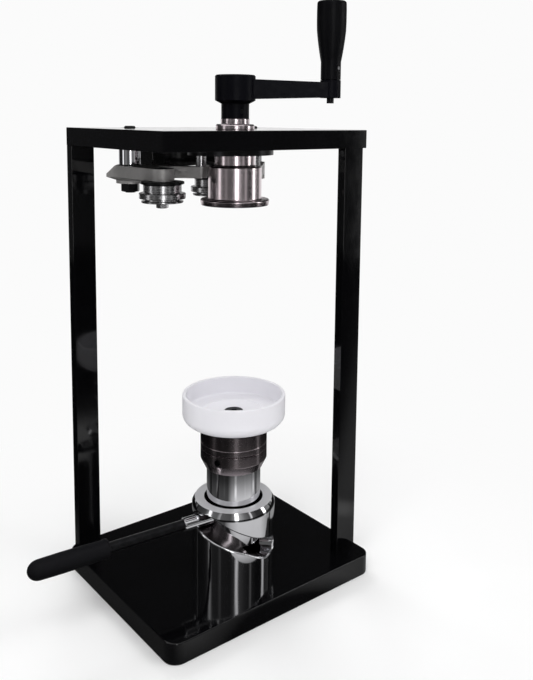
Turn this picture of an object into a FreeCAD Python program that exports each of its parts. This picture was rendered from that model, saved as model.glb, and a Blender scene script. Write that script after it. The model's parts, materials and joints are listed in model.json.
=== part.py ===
import FreeCAD, Part
import math
import os
import Sketcher
from FreeCAD import Placement, Rotation, Vector

# Hand-cranked can seamer: a black frame of two plates and two flat posts, a
# spindle with chuck, cam and two seaming arms under the top plate, and a
# lever-driven lift in a helically slotted sleeve that raises the can cup.
# Millimetres, +Z up, origin on the spindle axis at the underside of the base.
# +X runs from the front corner to the right post, +Y towards the left post.

os.makedirs("parts", exist_ok=True)
doc = FreeCAD.newDocument("can_seamer")
sheet = doc.addObject("Spreadsheet::Sheet", "Sizes")
pieces = []
rows = []


class Amount:
    """A number together with the formula that drives it from the sheet."""

    def __init__(self, number, text):
        self.number = float(number)
        self.text = text

    def __add__(self, other):
        other = amount(other)
        return Amount(self.number + other.number, f"({self.text} + {other.text})")

    def __sub__(self, other):
        other = amount(other)
        return Amount(self.number - other.number, f"({self.text} - {other.text})")

    def __mul__(self, other):
        other = amount(other)
        return Amount(self.number * other.number, f"({self.text} * {other.text})")

    def __truediv__(self, other):
        other = amount(other)
        return Amount(self.number / other.number, f"({self.text} / {other.text})")

    def __neg__(self):
        return Amount(-self.number, f"(0 - {self.text})")

    def __radd__(self, other):
        return amount(other) + self

    def __rsub__(self, other):
        return amount(other) - self

    def __rmul__(self, other):
        return amount(other) * self


def amount(thing):
    return thing if isinstance(thing, Amount) else Amount(thing, repr(float(thing)))


def cosine(angle):
    return Amount(math.cos(math.radians(angle.number)), f"cos({angle.text})")


def sine(angle):
    return Amount(math.sin(math.radians(angle.number)), f"sin({angle.text})")


def length_of(dx, dy):
    number = math.hypot(dx.number, dy.number)
    return Amount(number, f"sqrt({dx.text} * {dx.text} + {dy.text} * {dy.text})")


def arc_cosine(ratio):
    number = math.degrees(math.acos(ratio.number))
    return Amount(number, f"(acos({ratio.text}) / 1 deg)")


def size(name, number):
    """Write one driving size into the sheet and hand back its amount."""
    rows.append(name)
    sheet.set(f"A{len(rows)}", name)
    sheet.set(f"B{len(rows)}", str(number))
    sheet.setAlias(f"B{len(rows)}", name)
    return Amount(number, f"Sizes.{name}")


# Sizes: base plate
base_width = size("base_width", 190.0)
base_depth = size("base_depth", 160.0)
base_thick = size("base_thick", 15.5)
base_left = size("base_left", 94.0)
base_front = size("base_front", 59.0)
base_corner = size("base_corner", 10.0)
base_edge = size("base_edge", 0.8)

# Sizes: top plate and posts
top_inset_left = size("top_inset_left", 6.0)
top_inset_front = size("top_inset_front", 17.0)
top_inset_back = size("top_inset_back", 1.0)
top_thick = size("top_thick", 14.0)
top_edge = size("top_edge", 0.5)
post_width = size("post_width", 19.0)
post_thick = size("post_thick", 8.0)
post_height = size("post_height", 327.5)
post_edge = size("post_edge", 0.4)
right_post_inset = size("right_post_inset", 3.5)

# Sizes: socket screws that hold posts and sleeve from under the base
frame_screw_gap = size("frame_screw_gap", 10.0)
frame_screw_radius = size("frame_screw_radius", 2.5)
frame_screw_head = size("frame_screw_head", 4.25)
frame_screw_head_height = size("frame_screw_head_height", 5.0)
frame_screw_sink = size("frame_screw_sink", 5.6)
frame_screw_grip = size("frame_screw_grip", 12.0)
frame_screw_socket = size("frame_screw_socket", 4.0)
screw_end_gap = size("screw_end_gap", 1.0)
cut_margin = size("cut_margin", 1.5)
head_gap = size("head_gap", 0.25)
thread_gap = size("thread_gap", 0.02)
socket_depth = size("socket_depth", 2.6)

# Sizes: backing bar under the top plate
bar_left = size("bar_left", 25.0)
bar_width = size("bar_width", 65.0)
bar_depth = size("bar_depth", 20.0)
bar_height = size("bar_height", 14.4)
bar_inset = size("bar_inset", 2.0)
bar_edge = size("bar_edge", 0.6)
bar_screw_spread = size("bar_screw_spread", 42.0)
bar_screw_grip = size("bar_screw_grip", 9.0)

# Sizes: lift sleeve and its helical slot
tube_radius = size("tube_radius", 21.0)
slide_gap = size("slide_gap", 0.05)
sleeve_radius = size("sleeve_radius", 32.5)
sleeve_height = size("sleeve_height", 55.5)
sleeve_mouth = size("sleeve_mouth", 23.0)
sleeve_mouth_depth = size("sleeve_mouth_depth", 6.5)
sleeve_shoulder = size("sleeve_shoulder", 2.4)
sleeve_shoulder_height = size("sleeve_shoulder_height", 4.2)
sleeve_screw_circle = size("sleeve_screw_circle", 26.8)
sleeve_screw_first_angle = size("sleeve_screw_first_angle", 20.0)
sleeve_screw_step_angle = size("sleeve_screw_step_angle", 60.0)
lever_rest_angle = size("lever_rest_angle", 175.0)
lever_swing = size("lever_swing", 125.0)
lever_drop = size("lever_drop", 22.0)
stub_height = size("stub_height", 43.3)
stub_radius = size("stub_radius", 5.1)
track_half = size("track_half", 6.2)
ramp_half = size("ramp_half", 7.0)
ramp_low_angle = size("ramp_low_angle", 285.0)
ramp_swing = size("ramp_swing", 88.0)
ramp_low_height = size("ramp_low_height", 21.2)
ramp_rise = size("ramp_rise", 24.3)

# Sizes: lift tube, collar, bearing housing
tube_bore = size("tube_bore", 13.0)
tube_below_stub = size("tube_below_stub", 20.3)
tube_above_stub = size("tube_above_stub", 59.2)
stub_inside = size("stub_inside", 17.0)
collar_height = size("collar_height", 9.2)
collar_bottom = size("collar_bottom", 87.3)
collar_radius = size("collar_radius", 25.8)
collar_toe = size("collar_toe", 22.4)
collar_land = size("collar_land", 1.8)
collar_seam_gap = size("collar_seam_gap", 0.2)
collar_screw_radius = size("collar_screw_radius", 2.5)
collar_screw_gap = size("collar_screw_gap", 0.1)
collar_screw_length = size("collar_screw_length", 2.2)
collar_screw_rise = size("collar_screw_rise", 4.4)
collar_screw_angle = size("collar_screw_angle", 205.0)
collar_screw_socket = size("collar_screw_socket", 2.5)
housing_height = size("housing_height", 19.0)
housing_socket = size("housing_socket", 6.0)
housing_web = size("housing_web", 2.0)
housing_web_bore = size("housing_web_bore", 12.0)
housing_edge = size("housing_edge", 0.8)
fit_gap = size("fit_gap", 0.05)
running_gap = size("running_gap", 0.05)
bearing_outer = size("bearing_outer", 17.45)
bearing_inner = size("bearing_inner", 10.05)
bearing_race = size("bearing_race", 2.2)
bearing_shield = size("bearing_shield", 0.6)
bearing_gap = size("bearing_gap", 0.2)
bearing_width = size("bearing_width", 10.9)

# Sizes: can cup
cup_radius = size("cup_radius", 39.8)
cup_height = size("cup_height", 22.9)
cup_floor = size("cup_floor", 8.9)
cup_pocket = size("cup_pocket", 37.0)
cup_heel = size("cup_heel", 8.0)
cup_lip = size("cup_lip", 1.0)
cup_gap = size("cup_gap", 0.4)
cup_shaft_radius = size("cup_shaft_radius", 10.0)
cup_shaft_length = size("cup_shaft_length", 11.0)
cup_flange_radius = size("cup_flange_radius", 16.0)
cup_flange_height = size("cup_flange_height", 3.0)
cup_screw_radius = size("cup_screw_radius", 4.0)
cup_screw_head = size("cup_screw_head", 7.0)
cup_screw_head_height = size("cup_screw_head_height", 4.0)
cup_screw_length = size("cup_screw_length", 12.0)
cup_screw_socket = size("cup_screw_socket", 5.0)

# Sizes: lever
stub_reach = size("stub_reach", 44.7)
stub_socket = size("stub_socket", 8.0)
stub_chamfer = size("stub_chamfer", 0.7)
rod_radius = size("rod_radius", 4.0)
lever_reach = size("lever_reach", 163.0)
lever_grip_end = size("lever_grip_end", 11.0)
lever_grip_length = size("lever_grip_length", 58.0)
lever_grip_radius = size("lever_grip_radius", 7.0)
lever_grip_round = size("lever_grip_round", 1.2)
lever_grip_nose = size("lever_grip_nose", 5.0)
lever_grip_shoulder = size("lever_grip_shoulder", 1.7)
lever_grip_shoulder_radius = size("lever_grip_shoulder_radius", 5.2)
lever_grip_tip_radius = size("lever_grip_tip_radius", 2.0)

# Sizes: spindle, bearings and chuck
spindle_radius = size("spindle_radius", 8.0)
spindle_bearing_outer = size("spindle_bearing_outer", 12.0)
spindle_bearing_width = size("spindle_bearing_width", 6.5)
spindle_bearing_inset = size("spindle_bearing_inset", 0.3)
spindle_flange_radius = size("spindle_flange_radius", 14.4)
spindle_flange_height = size("spindle_flange_height", 3.8)
spindle_flange_gap = size("spindle_flange_gap", 0.3)
spindle_collar_radius = size("spindle_collar_radius", 10.75)
spindle_collar_height = size("spindle_collar_height", 3.8)
spindle_collar_gap = size("spindle_collar_gap", 0.2)
chuck_radius = size("chuck_radius", 20.0)
chuck_body_height = size("chuck_body_height", 24.5)
chuck_lip_radius = size("chuck_lip_radius", 26.0)
chuck_lip_height = size("chuck_lip_height", 4.5)
chuck_lip_draft = size("chuck_lip_draft", 0.5)
chuck_edge = size("chuck_edge", 0.7)
chuck_recess = size("chuck_recess", 22.0)
chuck_recess_depth = size("chuck_recess_depth", 1.2)
chuck_top_gap = size("chuck_top_gap", 13.0)
chuck_web = size("chuck_web", 2.5)
chuck_screw_radius = size("chuck_screw_radius", 3.0)
chuck_screw_head = size("chuck_screw_head", 5.0)
chuck_screw_head_height = size("chuck_screw_head_height", 3.6)
chuck_screw_length = size("chuck_screw_length", 12.0)
chuck_screw_socket = size("chuck_screw_socket", 4.0)

# Sizes: crank
crank_neck_radius = size("crank_neck_radius", 10.35)
crank_neck_height = size("crank_neck_height", 11.0)
crank_cone_height = size("crank_cone_height", 2.4)
crank_hub_radius = size("crank_hub_radius", 15.0)
crank_hub_height = size("crank_hub_height", 18.6)
crank_hub_edge = size("crank_hub_edge", 0.9)
crank_reach = size("crank_reach", 70.5)
crank_wall = size("crank_wall", 2.0)
crank_arm_level = size("crank_arm_level", 21.8)
crank_arm_root = size("crank_arm_root", 14.4)
crank_arm_tip = size("crank_arm_tip", 10.8)
crank_arm_width = size("crank_arm_width", 14.0)
crank_boss_radius = size("crank_boss_radius", 7.6)
crank_boss_bottom = size("crank_boss_bottom", 15.9)
crank_boss_height = size("crank_boss_height", 13.0)
crank_angle = size("crank_angle", -36.3)
crank_screw_radius = size("crank_screw_radius", 4.0)
crank_screw_head_height = size("crank_screw_head_height", 4.6)
crank_screw_length = size("crank_screw_length", 16.0)
crank_screw_socket = size("crank_screw_socket", 6.0)
crank_pin_radius = size("crank_pin_radius", 1.5)
crank_pin_rise = size("crank_pin_rise", 5.5)
crank_pin_turn = size("crank_pin_turn", -60.0)

# Sizes: crank grip and its axle
axle_radius = size("axle_radius", 4.0)
axle_tail_radius = size("axle_tail_radius", 2.65)
axle_tail_drop = size("axle_tail_drop", 3.9)
axle_length = size("axle_length", 51.0)
axle_groove_radius = size("axle_groove_radius", 3.2)
axle_groove_half = size("axle_groove_half", 1.7)
grip_gap = size("grip_gap", 0.3)
grip_height = size("grip_height", 57.8)
grip_neck_radius = size("grip_neck_radius", 7.45)
grip_neck_height = size("grip_neck_height", 13.8)
grip_belly_radius = size("grip_belly_radius", 10.5)
grip_belly_height = size("grip_belly_height", 31.0)
grip_head_radius = size("grip_head_radius", 10.9)
grip_head_height = size("grip_head_height", 40.0)
grip_crown = size("grip_crown", 1.4)
grip_bore_depth = size("grip_bore_depth", 51.6)
grip_pin_radius = size("grip_pin_radius", 1.3)
grip_pin_rise = size("grip_pin_rise", 8.4)
grip_pin_angle = size("grip_pin_angle", -81.0)

# Sizes: cam on the spindle
cam_hub_radius = size("cam_hub_radius", 15.0)
cam_hub_height = size("cam_hub_height", 8.2)
cam_disc_height = size("cam_disc_height", 4.0)
cam_gap = size("cam_gap", 0.3)
cam_nose_reach = size("cam_nose_reach", 17.0)
cam_nose_radius = size("cam_nose_radius", 22.0)
cam_roller_radius = size("cam_roller_radius", 5.0)
cam_roller_height = size("cam_roller_height", 3.3)
cam_roller_gap = size("cam_roller_gap", 0.3)
cam_angle = size("cam_angle", 185.0)

# Sizes: seaming arms, shared by both arms
pivot_reach = size("pivot_reach", 88.0)
first_pivot_angle = size("first_pivot_angle", 122.3)
second_pivot_angle = size("second_pivot_angle", 44.1)
roller_rest = size("roller_rest", 54.0)
roller_angle = size("roller_angle", 29.66)
follower_rest = size("follower_rest", 34.0)
follower_angle = size("follower_angle", 18.0)
arm_boss_radius = size("arm_boss_radius", 11.0)
arm_boss_height = size("arm_boss_height", 14.0)
arm_web_height = size("arm_web_height", 9.0)
arm_roller_end = size("arm_roller_end", 9.0)
arm_follower_end = size("arm_follower_end", 5.0)
arm_tail_end = size("arm_tail_end", 4.5)
arm_tail_back = size("arm_tail_back", 17.5)
arm_tail_side = size("arm_tail_side", 6.5)
arm_top_drop = size("arm_top_drop", 15.0)
arm_play = size("arm_play", 0.1)
pivot_bolt_radius = size("pivot_bolt_radius", 4.0)
pivot_head_radius = size("pivot_head_radius", 6.5)
pivot_head_height = size("pivot_head_height", 4.2)
pivot_head_sink = size("pivot_head_sink", 0.3)
pivot_socket = size("pivot_socket", 6.0)
pivot_tail = size("pivot_tail", 0.8)
bush_radius = size("bush_radius", 8.8)
pivot_nut_flats = size("pivot_nut_flats", 13.0)
pivot_nut_height = size("pivot_nut_height", 6.5)

# Sizes: seaming rollers, their pins and nuts, and the cam roller studs
roller_pin_radius = size("roller_pin_radius", 4.0)
roller_collar_radius = size("roller_collar_radius", 6.5)
roller_collar_height = size("roller_collar_height", 2.4)
roller_end_gap = size("roller_end_gap", 0.15)
roller_nut_flats = size("roller_nut_flats", 8.0)
roller_nut_height = size("roller_nut_height", 4.0)
roller_thread_radius = size("roller_thread_radius", 2.5)
roller_pin_tip = size("roller_pin_tip", 0.24)
roller_lip_radius = size("roller_lip_radius", 15.6)
roller_lip_height = size("roller_lip_height", 1.2)
roller_groove_radius = size("roller_groove_radius", 13.6)
roller_groove_height = size("roller_groove_height", 1.9)
roller_flange_radius = size("roller_flange_radius", 17.2)
roller_flange_height = size("roller_flange_height", 4.1)
roller_neck_radius = size("roller_neck_radius", 13.2)
roller_neck_height = size("roller_neck_height", 0.6)
roller_head_radius = size("roller_head_radius", 14.1)
roller_head_height = size("roller_head_height", 5.6)
roller_edge = size("roller_edge", 0.4)
stud_radius = size("stud_radius", 3.0)
stud_shoulder_radius = size("stud_shoulder_radius", 4.0)
stud_head_radius = size("stud_head_radius", 4.2)
stud_head_height = size("stud_head_height", 0.7)
stud_play = size("stud_play", 0.1)

doc.recompute()

ZERO = amount(0.0)

# Levels and places that several pieces share
top_left = base_left - top_inset_left
top_front = base_front - top_inset_front
top_width = base_width - top_inset_left
top_depth = base_depth - top_inset_front - top_inset_back
rod_reach = lever_reach - lever_grip_end
top_under = base_thick + post_height
top_face = top_under + top_thick
stub_level = base_thick + stub_height
collar_level = base_thick + collar_bottom
housing_level = collar_level + collar_height + collar_seam_gap
cup_level = housing_level + housing_height + cup_gap
chuck_top = top_under - chuck_top_gap
chuck_level = chuck_top - chuck_body_height - chuck_lip_height
flange_top = top_face + spindle_flange_height
collar_ring_level = flange_top + spindle_collar_gap
crank_level = collar_ring_level + spindle_collar_height
arm_top = top_under - arm_top_drop
arm_level = arm_top - arm_boss_height
web_level = arm_top - arm_web_height
cam_level = chuck_top + cam_gap
cam_disc_radius = follower_rest - cam_roller_radius - cam_roller_gap
cam_disc_level = cam_level + cam_hub_height
grip_x = crank_reach * cosine(crank_angle)
grip_y = crank_reach * sine(crank_angle)
grip_level = crank_level + crank_boss_bottom + crank_boss_height
roller_height = (roller_lip_height + roller_groove_height + roller_flange_height
                 + roller_neck_height + roller_head_height)
roller_level = web_level - roller_collar_height - roller_end_gap - roller_height


def body_named(label):
    """Start one piece; its label is the name of its file."""
    body = doc.addObject("PartDesign::Body", label)
    body.Label = label
    pieces.append(body)
    return body


def place(body, across=ZERO, along=ZERO, level=ZERO, turn=None):
    """Stand a piece at a point of the shared frame, turned about +Z."""
    spin = 0.0 if turn is None else turn.number
    body.Placement = Placement(
        Vector(across.number, along.number, level.number),
        Rotation(Vector(0, 0, 1), spin if spin else 1.0))
    body.setExpression("Placement.Base.x", across.text)
    body.setExpression("Placement.Base.y", along.text)
    body.setExpression("Placement.Base.z", level.text)
    body.setExpression("Placement.Rotation.Angle", "0.0" if turn is None else turn.text)
    return body


def flat(level=ZERO, facing_down=False):
    """A level sketch plane; a plane that faces down cuts upwards."""
    return ("level", level, facing_down)


def upright(offset=ZERO):
    """A sketch plane along X and Z, moved back along Y."""
    return ("upright", offset, False)


def lay(sketch, plane):
    kind, offset, facing_down = plane
    if kind == "level":
        spin = Rotation(Vector(1, 0, 0), 180.0 if facing_down else 0.0)
        sketch.Placement = Placement(Vector(0, 0, offset.number), spin)
        sketch.setExpression("Placement.Base.z", offset.text)
    elif kind == "upright":
        spin = Rotation(Vector(1, 0, 0), 90.0)
        sketch.Placement = Placement(Vector(0, offset.number, 0), spin)
        sketch.setExpression("Placement.Base.y", offset.text)
    else:
        spin = Rotation(Vector(0, 0, 1), offset.number) * Rotation(Vector(0, 1, 0), -90.0)
        sketch.Placement = Placement(Vector(0, 0, 0), spin)
        sketch.setExpression("Placement", (
            "create(<<placement>>; create(<<vector>>; 0; 0; 0); "
            f"create(<<rotation>>; {offset.text}; -90; 0))"))


def pin_point(sketch, geometry, corner, across, along):
    """Fix one point of a sketch at two driven distances from the origin."""
    for kind, axis, value in (("DistanceX", -2, across), ("DistanceY", -1, along)):
        if abs(value.number) < 1e-9:
            sketch.addConstraint(Sketcher.Constraint("PointOnObject", geometry, corner, axis))
            continue
        sketch.addConstraint(
            Sketcher.Constraint(kind, -1, 1, geometry, corner, value.number))
        sketch.setExpression(f"Constraints[{sketch.ConstraintCount - 1}]", value.text)


def outline(body, points, plane):
    """A closed outline of straight lines through driven points."""
    sketch = body.newObject("Sketcher::SketchObject", f"{body.Name}_outline")
    lay(sketch, plane)
    count = len(points)
    for index, (across, along) in enumerate(points):
        after = points[(index + 1) % count]
        sketch.addGeometry(Part.LineSegment(
            Vector(across.number, along.number, 0),
            Vector(after[0].number, after[1].number, 0)), False)
    for index in range(count):
        sketch.addConstraint(Sketcher.Constraint(
            "Coincident", index, 2, (index + 1) % count, 1))
    for index, (across, along) in enumerate(points):
        pin_point(sketch, index, 1, across, along)
    return sketch


def circles(body, rounds, plane):
    """One or more circles, each with a driven centre and radius."""
    sketch = body.newObject("Sketcher::SketchObject", f"{body.Name}_circles")
    lay(sketch, plane)
    for index, (across, along, radius) in enumerate(rounds):
        sketch.addGeometry(Part.Circle(
            Vector(across.number, along.number, 0), Vector(0, 0, 1), radius.number), False)
        pin_point(sketch, index, 3, across, along)
        sketch.addConstraint(Sketcher.Constraint("Radius", index, radius.number))
        sketch.setExpression(f"Constraints[{sketch.ConstraintCount - 1}]", radius.text)
    return sketch


def pad(body, sketch, height):
    feature = body.newObject("PartDesign::Pad", f"{body.Name}_pad")
    feature.Profile = sketch
    feature.Length = height.number
    feature.setExpression("Length", height.text)
    return feature


def pocket(body, sketch, depth):
    feature = body.newObject("PartDesign::Pocket", f"{body.Name}_pocket")
    feature.Profile = sketch
    feature.Length = depth.number
    feature.setExpression("Length", depth.text)
    return feature


def turned(label, points, about="V_Axis"):
    """A piece turned on a lathe from a profile of radius and height."""
    body = body_named(label)
    sketch = outline(body, points, upright())
    feature = body.newObject("PartDesign::Revolution", f"{body.Name}_turning")
    feature.Profile = sketch
    feature.ReferenceAxis = (sketch, [about])
    feature.Angle = 360.0
    return body


def round_edges(body, radius, wanted, kind="PartDesign::Fillet"):
    """Round or bevel those edges of the piece so far that the test picks."""
    doc.recompute()
    base = body.Tip
    names = [f"Edge{index + 1}" for index, edge in enumerate(base.Shape.Edges) if wanted(edge)]
    feature = body.newObject(kind, f"{body.Name}_edges")
    feature.Base = (base, names)
    prop = "Radius" if kind == "PartDesign::Fillet" else "Size"
    setattr(feature, prop, radius.number)
    feature.setExpression(prop, radius.text)
    return feature


def rectangle(left, front, width, depth):
    return [(left, front), (left + width, front),
            (left + width, front + depth), (left, front + depth)]


def hexagon(flats, across=ZERO, along=ZERO):
    """Corners of a hexagon of a given width across its flats."""
    corner = flats / (2.0 * math.cos(math.radians(30.0)))
    points = []
    for step in range(6):
        turn = math.radians(60.0 * step + 30.0)
        points.append((across + corner * math.cos(turn), along + corner * math.sin(turn)))
    return points


def radial_hole(body, angle, height, radius, reach):
    """Drill outwards from the axis at an angle about it and a height."""
    sketch = circles(body, [(height, ZERO, radius)], ("radial", angle, False))
    return pocket(body, sketch, reach)


def upright_edge(edge):
    box = edge.BoundBox
    return box.XLength < 1e-6 and box.YLength < 1e-6 and box.ZLength > 1e-6


def edge_at(level):
    def test(edge):
        box = edge.BoundBox
        return box.ZLength < 1e-6 and abs(box.ZMin - level) < 1e-6
    return test


def screw(label, head, head_height, shank, shank_length, flats, points_up):
    """A socket-head screw with its head's seat at the placement's level."""
    body = doc.addObject("PartDesign::Body", label)
    if points_up:
        profile = [(ZERO, -head_height), (head, -head_height), (head, ZERO),
                   (shank, ZERO), (shank, shank_length), (ZERO, shank_length)]
    else:
        profile = [(ZERO, head_height), (head, head_height), (head, ZERO),
                   (shank, ZERO), (shank, -shank_length), (ZERO, -shank_length)]
    sketch = outline(body, profile, upright())
    feature = body.newObject("PartDesign::Revolution", f"{body.Name}_turning")
    feature.Profile = sketch
    feature.ReferenceAxis = (sketch, ["V_Axis"])
    feature.Angle = 360.0
    if points_up:
        socket = outline(body, hexagon(flats), flat(-head_height, True))
    else:
        socket = outline(body, hexagon(flats), flat(head_height))
    pocket(body, socket, socket_depth)
    return body


def gather(label, bodies):
    """Like fasteners share one file and stay separate solids."""
    group = doc.addObject("Part::Compound", label)
    group.Label = label
    group.Links = bodies
    pieces.append(group)
    return group


# Base plate: rounded corners, broken top edge, sunk screw holes from below
left_post_x = -top_left
left_post_y = top_depth - top_front - post_thick
right_post_x = top_width - top_left - right_post_inset - post_width
right_post_y = -top_front
frame_screws = []
for post_x, post_y in ((left_post_x, left_post_y), (right_post_x, right_post_y)):
    for side in (-0.5, 0.5):
        frame_screws.append((post_x + post_width / 2.0 + frame_screw_gap * side,
                             post_y + post_thick / 2.0))
sleeve_screws = []
for step in range(3):
    turn = sleeve_screw_first_angle + sleeve_screw_step_angle * step
    sleeve_screws.append((sleeve_screw_circle * cosine(turn), sleeve_screw_circle * sine(turn)))

base = body_named("base_plate")
pad(base, outline(base, rectangle(-base_left, -base_front, base_width, base_depth), flat()),
    base_thick)
round_edges(base, base_corner, upright_edge)
round_edges(base, base_edge, edge_at(base_thick.number))
below = flat(ZERO, True)
holes = frame_screws + sleeve_screws
pocket(base, circles(base, [(x, -y, frame_screw_radius + thread_gap) for x, y in holes], below),
       base_thick)
pocket(base, circles(base, [(x, -y, frame_screw_head + head_gap) for x, y in holes], below),
       frame_screw_sink)
place(base)

# Posts: flat bars with two threaded holes in the foot
for label, post_x, post_y in (("left_post", left_post_x, left_post_y),
                              ("right_post", right_post_x, right_post_y)):
    post = body_named(label)
    pad(post, outline(post, rectangle(ZERO, ZERO, post_width, post_thick), flat()), post_height)
    round_edges(post, post_edge, upright_edge)
    threads = [(post_width / 2.0 + frame_screw_gap * side, -(post_thick / 2.0),
                frame_screw_radius + thread_gap) for side in (-0.5, 0.5)]
    pocket(post, circles(post, threads, below), frame_screw_grip)
    place(post, post_x, post_y, base_thick)

# Top plate: square corners, spindle bearing bore and two sunk pivot holes
pivots = [(pivot_reach * cosine(turn), pivot_reach * sine(turn))
          for turn in (first_pivot_angle, second_pivot_angle)]
top = body_named("top_plate")
pad(top, outline(top, rectangle(-top_left, -top_front, top_width, top_depth), flat()), top_thick)
round_edges(top, top_edge, lambda edge: edge_at(top_thick.number)(edge) or edge_at(0.0)(edge))
pocket(top, circles(top, [(ZERO, ZERO, spindle_bearing_outer + thread_gap)], flat(top_thick)),
       top_thick)
pocket(top, circles(top, [(x, y, pivot_bolt_radius + running_gap) for x, y in pivots],
                    flat(top_thick)), top_thick)
pocket(top, circles(top, [(x, y, pivot_head_radius + head_gap) for x, y in pivots],
                    flat(top_thick)), pivot_head_height + pivot_head_sink)
place(top, level=top_under)

# Backing bar: screwed up against the top plate behind the arms
bar_y = top_depth - top_front - bar_inset - bar_depth
bar_level = top_under - bar_height
bar_screws = [(bar_width / 2.0 - bar_left + bar_screw_spread * side, bar_y + bar_depth / 2.0)
              for side in (-0.5, 0.5)]
bar = body_named("backing_bar")
pad(bar, outline(bar, rectangle(-bar_left, bar_y, bar_width, bar_depth), flat()), bar_height)
round_edges(bar, bar_edge, upright_edge)
pocket(bar, circles(bar, [(x, -y, frame_screw_radius + thread_gap) for x, y in bar_screws],
                    below), bar_height)
pocket(bar, circles(bar, [(x, -y, frame_screw_head + head_gap) for x, y in bar_screws], below),
       frame_screw_sink)
place(bar, level=bar_level)
pocket(top, circles(top, [(x, -y, frame_screw_radius + thread_gap) for x, y in bar_screws],
                    below), bar_screw_grip)
gather("bar_screws", [
    place(screw(f"bar_screw_{index + 1}", frame_screw_head, frame_screw_head_height,
                frame_screw_radius,
                bar_height - frame_screw_sink + bar_screw_grip - screw_end_gap,
                frame_screw_socket, True), x, y, bar_level + frame_screw_sink)
    for index, (x, y) in enumerate(bar_screws)])

# Screws under the base: four into the posts, three into the sleeve
gather("post_screws", [
    place(screw(f"post_screw_{index + 1}", frame_screw_head, frame_screw_head_height,
                frame_screw_radius, base_thick - frame_screw_sink + frame_screw_grip - screw_end_gap,
                frame_screw_socket, True), x, y, frame_screw_sink)
    for index, (x, y) in enumerate(frame_screws)])
gather("sleeve_screws", [
    place(screw(f"sleeve_screw_{index + 1}", frame_screw_head, frame_screw_head_height,
                frame_screw_radius, base_thick - frame_screw_sink + frame_screw_grip - screw_end_gap,
                frame_screw_socket, True), x, y, frame_screw_sink)
    for index, (x, y) in enumerate(sleeve_screws)])

# Lift sleeve: bored tube whose wall carries the helical slot. A straight
# track fits the lever stub from the raised to the lowered place, and a
# steeper ramp opens the slot's upper side.
sleeve_bore = tube_radius + slide_gap
sleeve = turned("lift_sleeve", [
    (sleeve_bore, ZERO), (sleeve_radius, ZERO),
    (sleeve_radius, sleeve_height - sleeve_shoulder_height),
    (sleeve_radius - sleeve_shoulder, sleeve_height),
    (sleeve_mouth, sleeve_height), (sleeve_mouth, sleeve_height - sleeve_mouth_depth),
    (sleeve_bore, sleeve_height - sleeve_mouth_depth - (sleeve_mouth - sleeve_bore))])


def slot_run(body, low_angle, low_height, rise, swing, half):
    """Cut one left-handed helical run through the wall, rounded at both ends."""
    inner = tube_radius - cut_margin
    outer = sleeve_radius + cut_margin
    profile = outline(body, [
        (inner, low_height - half), (outer, low_height - half),
        (outer, low_height + half), (inner, low_height + half)], upright())
    profile.setExpression("Placement.Base.y", None)
    profile.Placement = Placement(Vector(0, 0, 0), Rotation(low_angle.number, 0.0, 90.0))
    profile.setExpression("Placement", (
        "create(<<placement>>; create(<<vector>>; 0; 0; 0); "
        f"create(<<rotation>>; {low_angle.text}; 0; 90))"))
    run = body.newObject("PartDesign::SubtractiveHelix", f"{body.Name}_slot")
    run.Profile = profile
    run.ReferenceAxis = (profile, ["V_Axis"])
    run.Mode = 2
    run.Height = rise.number
    run.setExpression("Height", rise.text)
    run.Turns = swing.number / 360.0
    run.setExpression("Turns", f"{swing.text} / 360")
    run.LeftHanded = True
    radial_hole(body, low_angle, low_height, half, outer)
    radial_hole(body, low_angle - swing, low_height + rise, half, outer)


slot_run(sleeve, lever_rest_angle + lever_swing, stub_height - lever_drop, lever_drop,
         lever_swing, track_half)
slot_run(sleeve, ramp_low_angle, ramp_low_height, ramp_rise, ramp_swing, ramp_half)
pocket(sleeve, circles(sleeve, [(x, -y, frame_screw_radius + thread_gap)
                                for x, y in sleeve_screws], below), frame_screw_grip)
place(sleeve, level=base_thick)

# Spindle group: bearings in the plate, flange, shaft and collar ring
spindle_bore = spindle_radius + running_gap


def ring(label, inner, outer, height, level):
    """A plain ring on the spindle axis."""
    body = doc.addObject("PartDesign::Body", label)
    body.Label = label
    sketch = outline(body, [(inner, ZERO), (outer, ZERO), (outer, height), (inner, height)],
                     upright())
    feature = body.newObject("PartDesign::Revolution", f"{body.Name}_turning")
    feature.Profile = sketch
    feature.ReferenceAxis = (sketch, ["V_Axis"])
    feature.Angle = 360.0
    return place(body, level=level)


gather("spindle_bearings", [
    ring("spindle_bearing_low", spindle_bore, spindle_bearing_outer, spindle_bearing_width,
         top_under + spindle_bearing_inset),
    ring("spindle_bearing_high", spindle_bore, spindle_bearing_outer, spindle_bearing_width,
         top_face - spindle_bearing_inset - spindle_bearing_width)])

flange = ring("spindle_flange", spindle_radius + spindle_flange_gap, spindle_flange_radius,
              spindle_flange_height, top_face)
round_edges(flange, crank_hub_edge, edge_at(spindle_flange_height.number))
pieces.append(flange)
collar_ring = ring("spindle_collar", spindle_radius, spindle_collar_radius,
                   spindle_collar_height, collar_ring_level)
pieces.append(collar_ring)

shaft_level = chuck_level + chuck_lip_height + chuck_web
crank_screw_seat = crank_level + crank_neck_height + crank_cone_height + crank_hub_height
crank_screw_seat = crank_screw_seat - crank_screw_head_height - pivot_head_sink
shaft_length = crank_screw_seat - shaft_level
shaft = turned("spindle_shaft", [
    (ZERO, ZERO), (spindle_radius, ZERO), (spindle_radius, shaft_length), (ZERO, shaft_length)])
pocket(shaft, circles(shaft, [(ZERO, ZERO, chuck_screw_radius + thread_gap)], below),
       chuck_screw_length)
pocket(shaft, circles(shaft, [(ZERO, ZERO, crank_screw_radius + thread_gap)],
                      flat(shaft_length)), crank_screw_length + screw_end_gap)
place(shaft, level=shaft_level)

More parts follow.
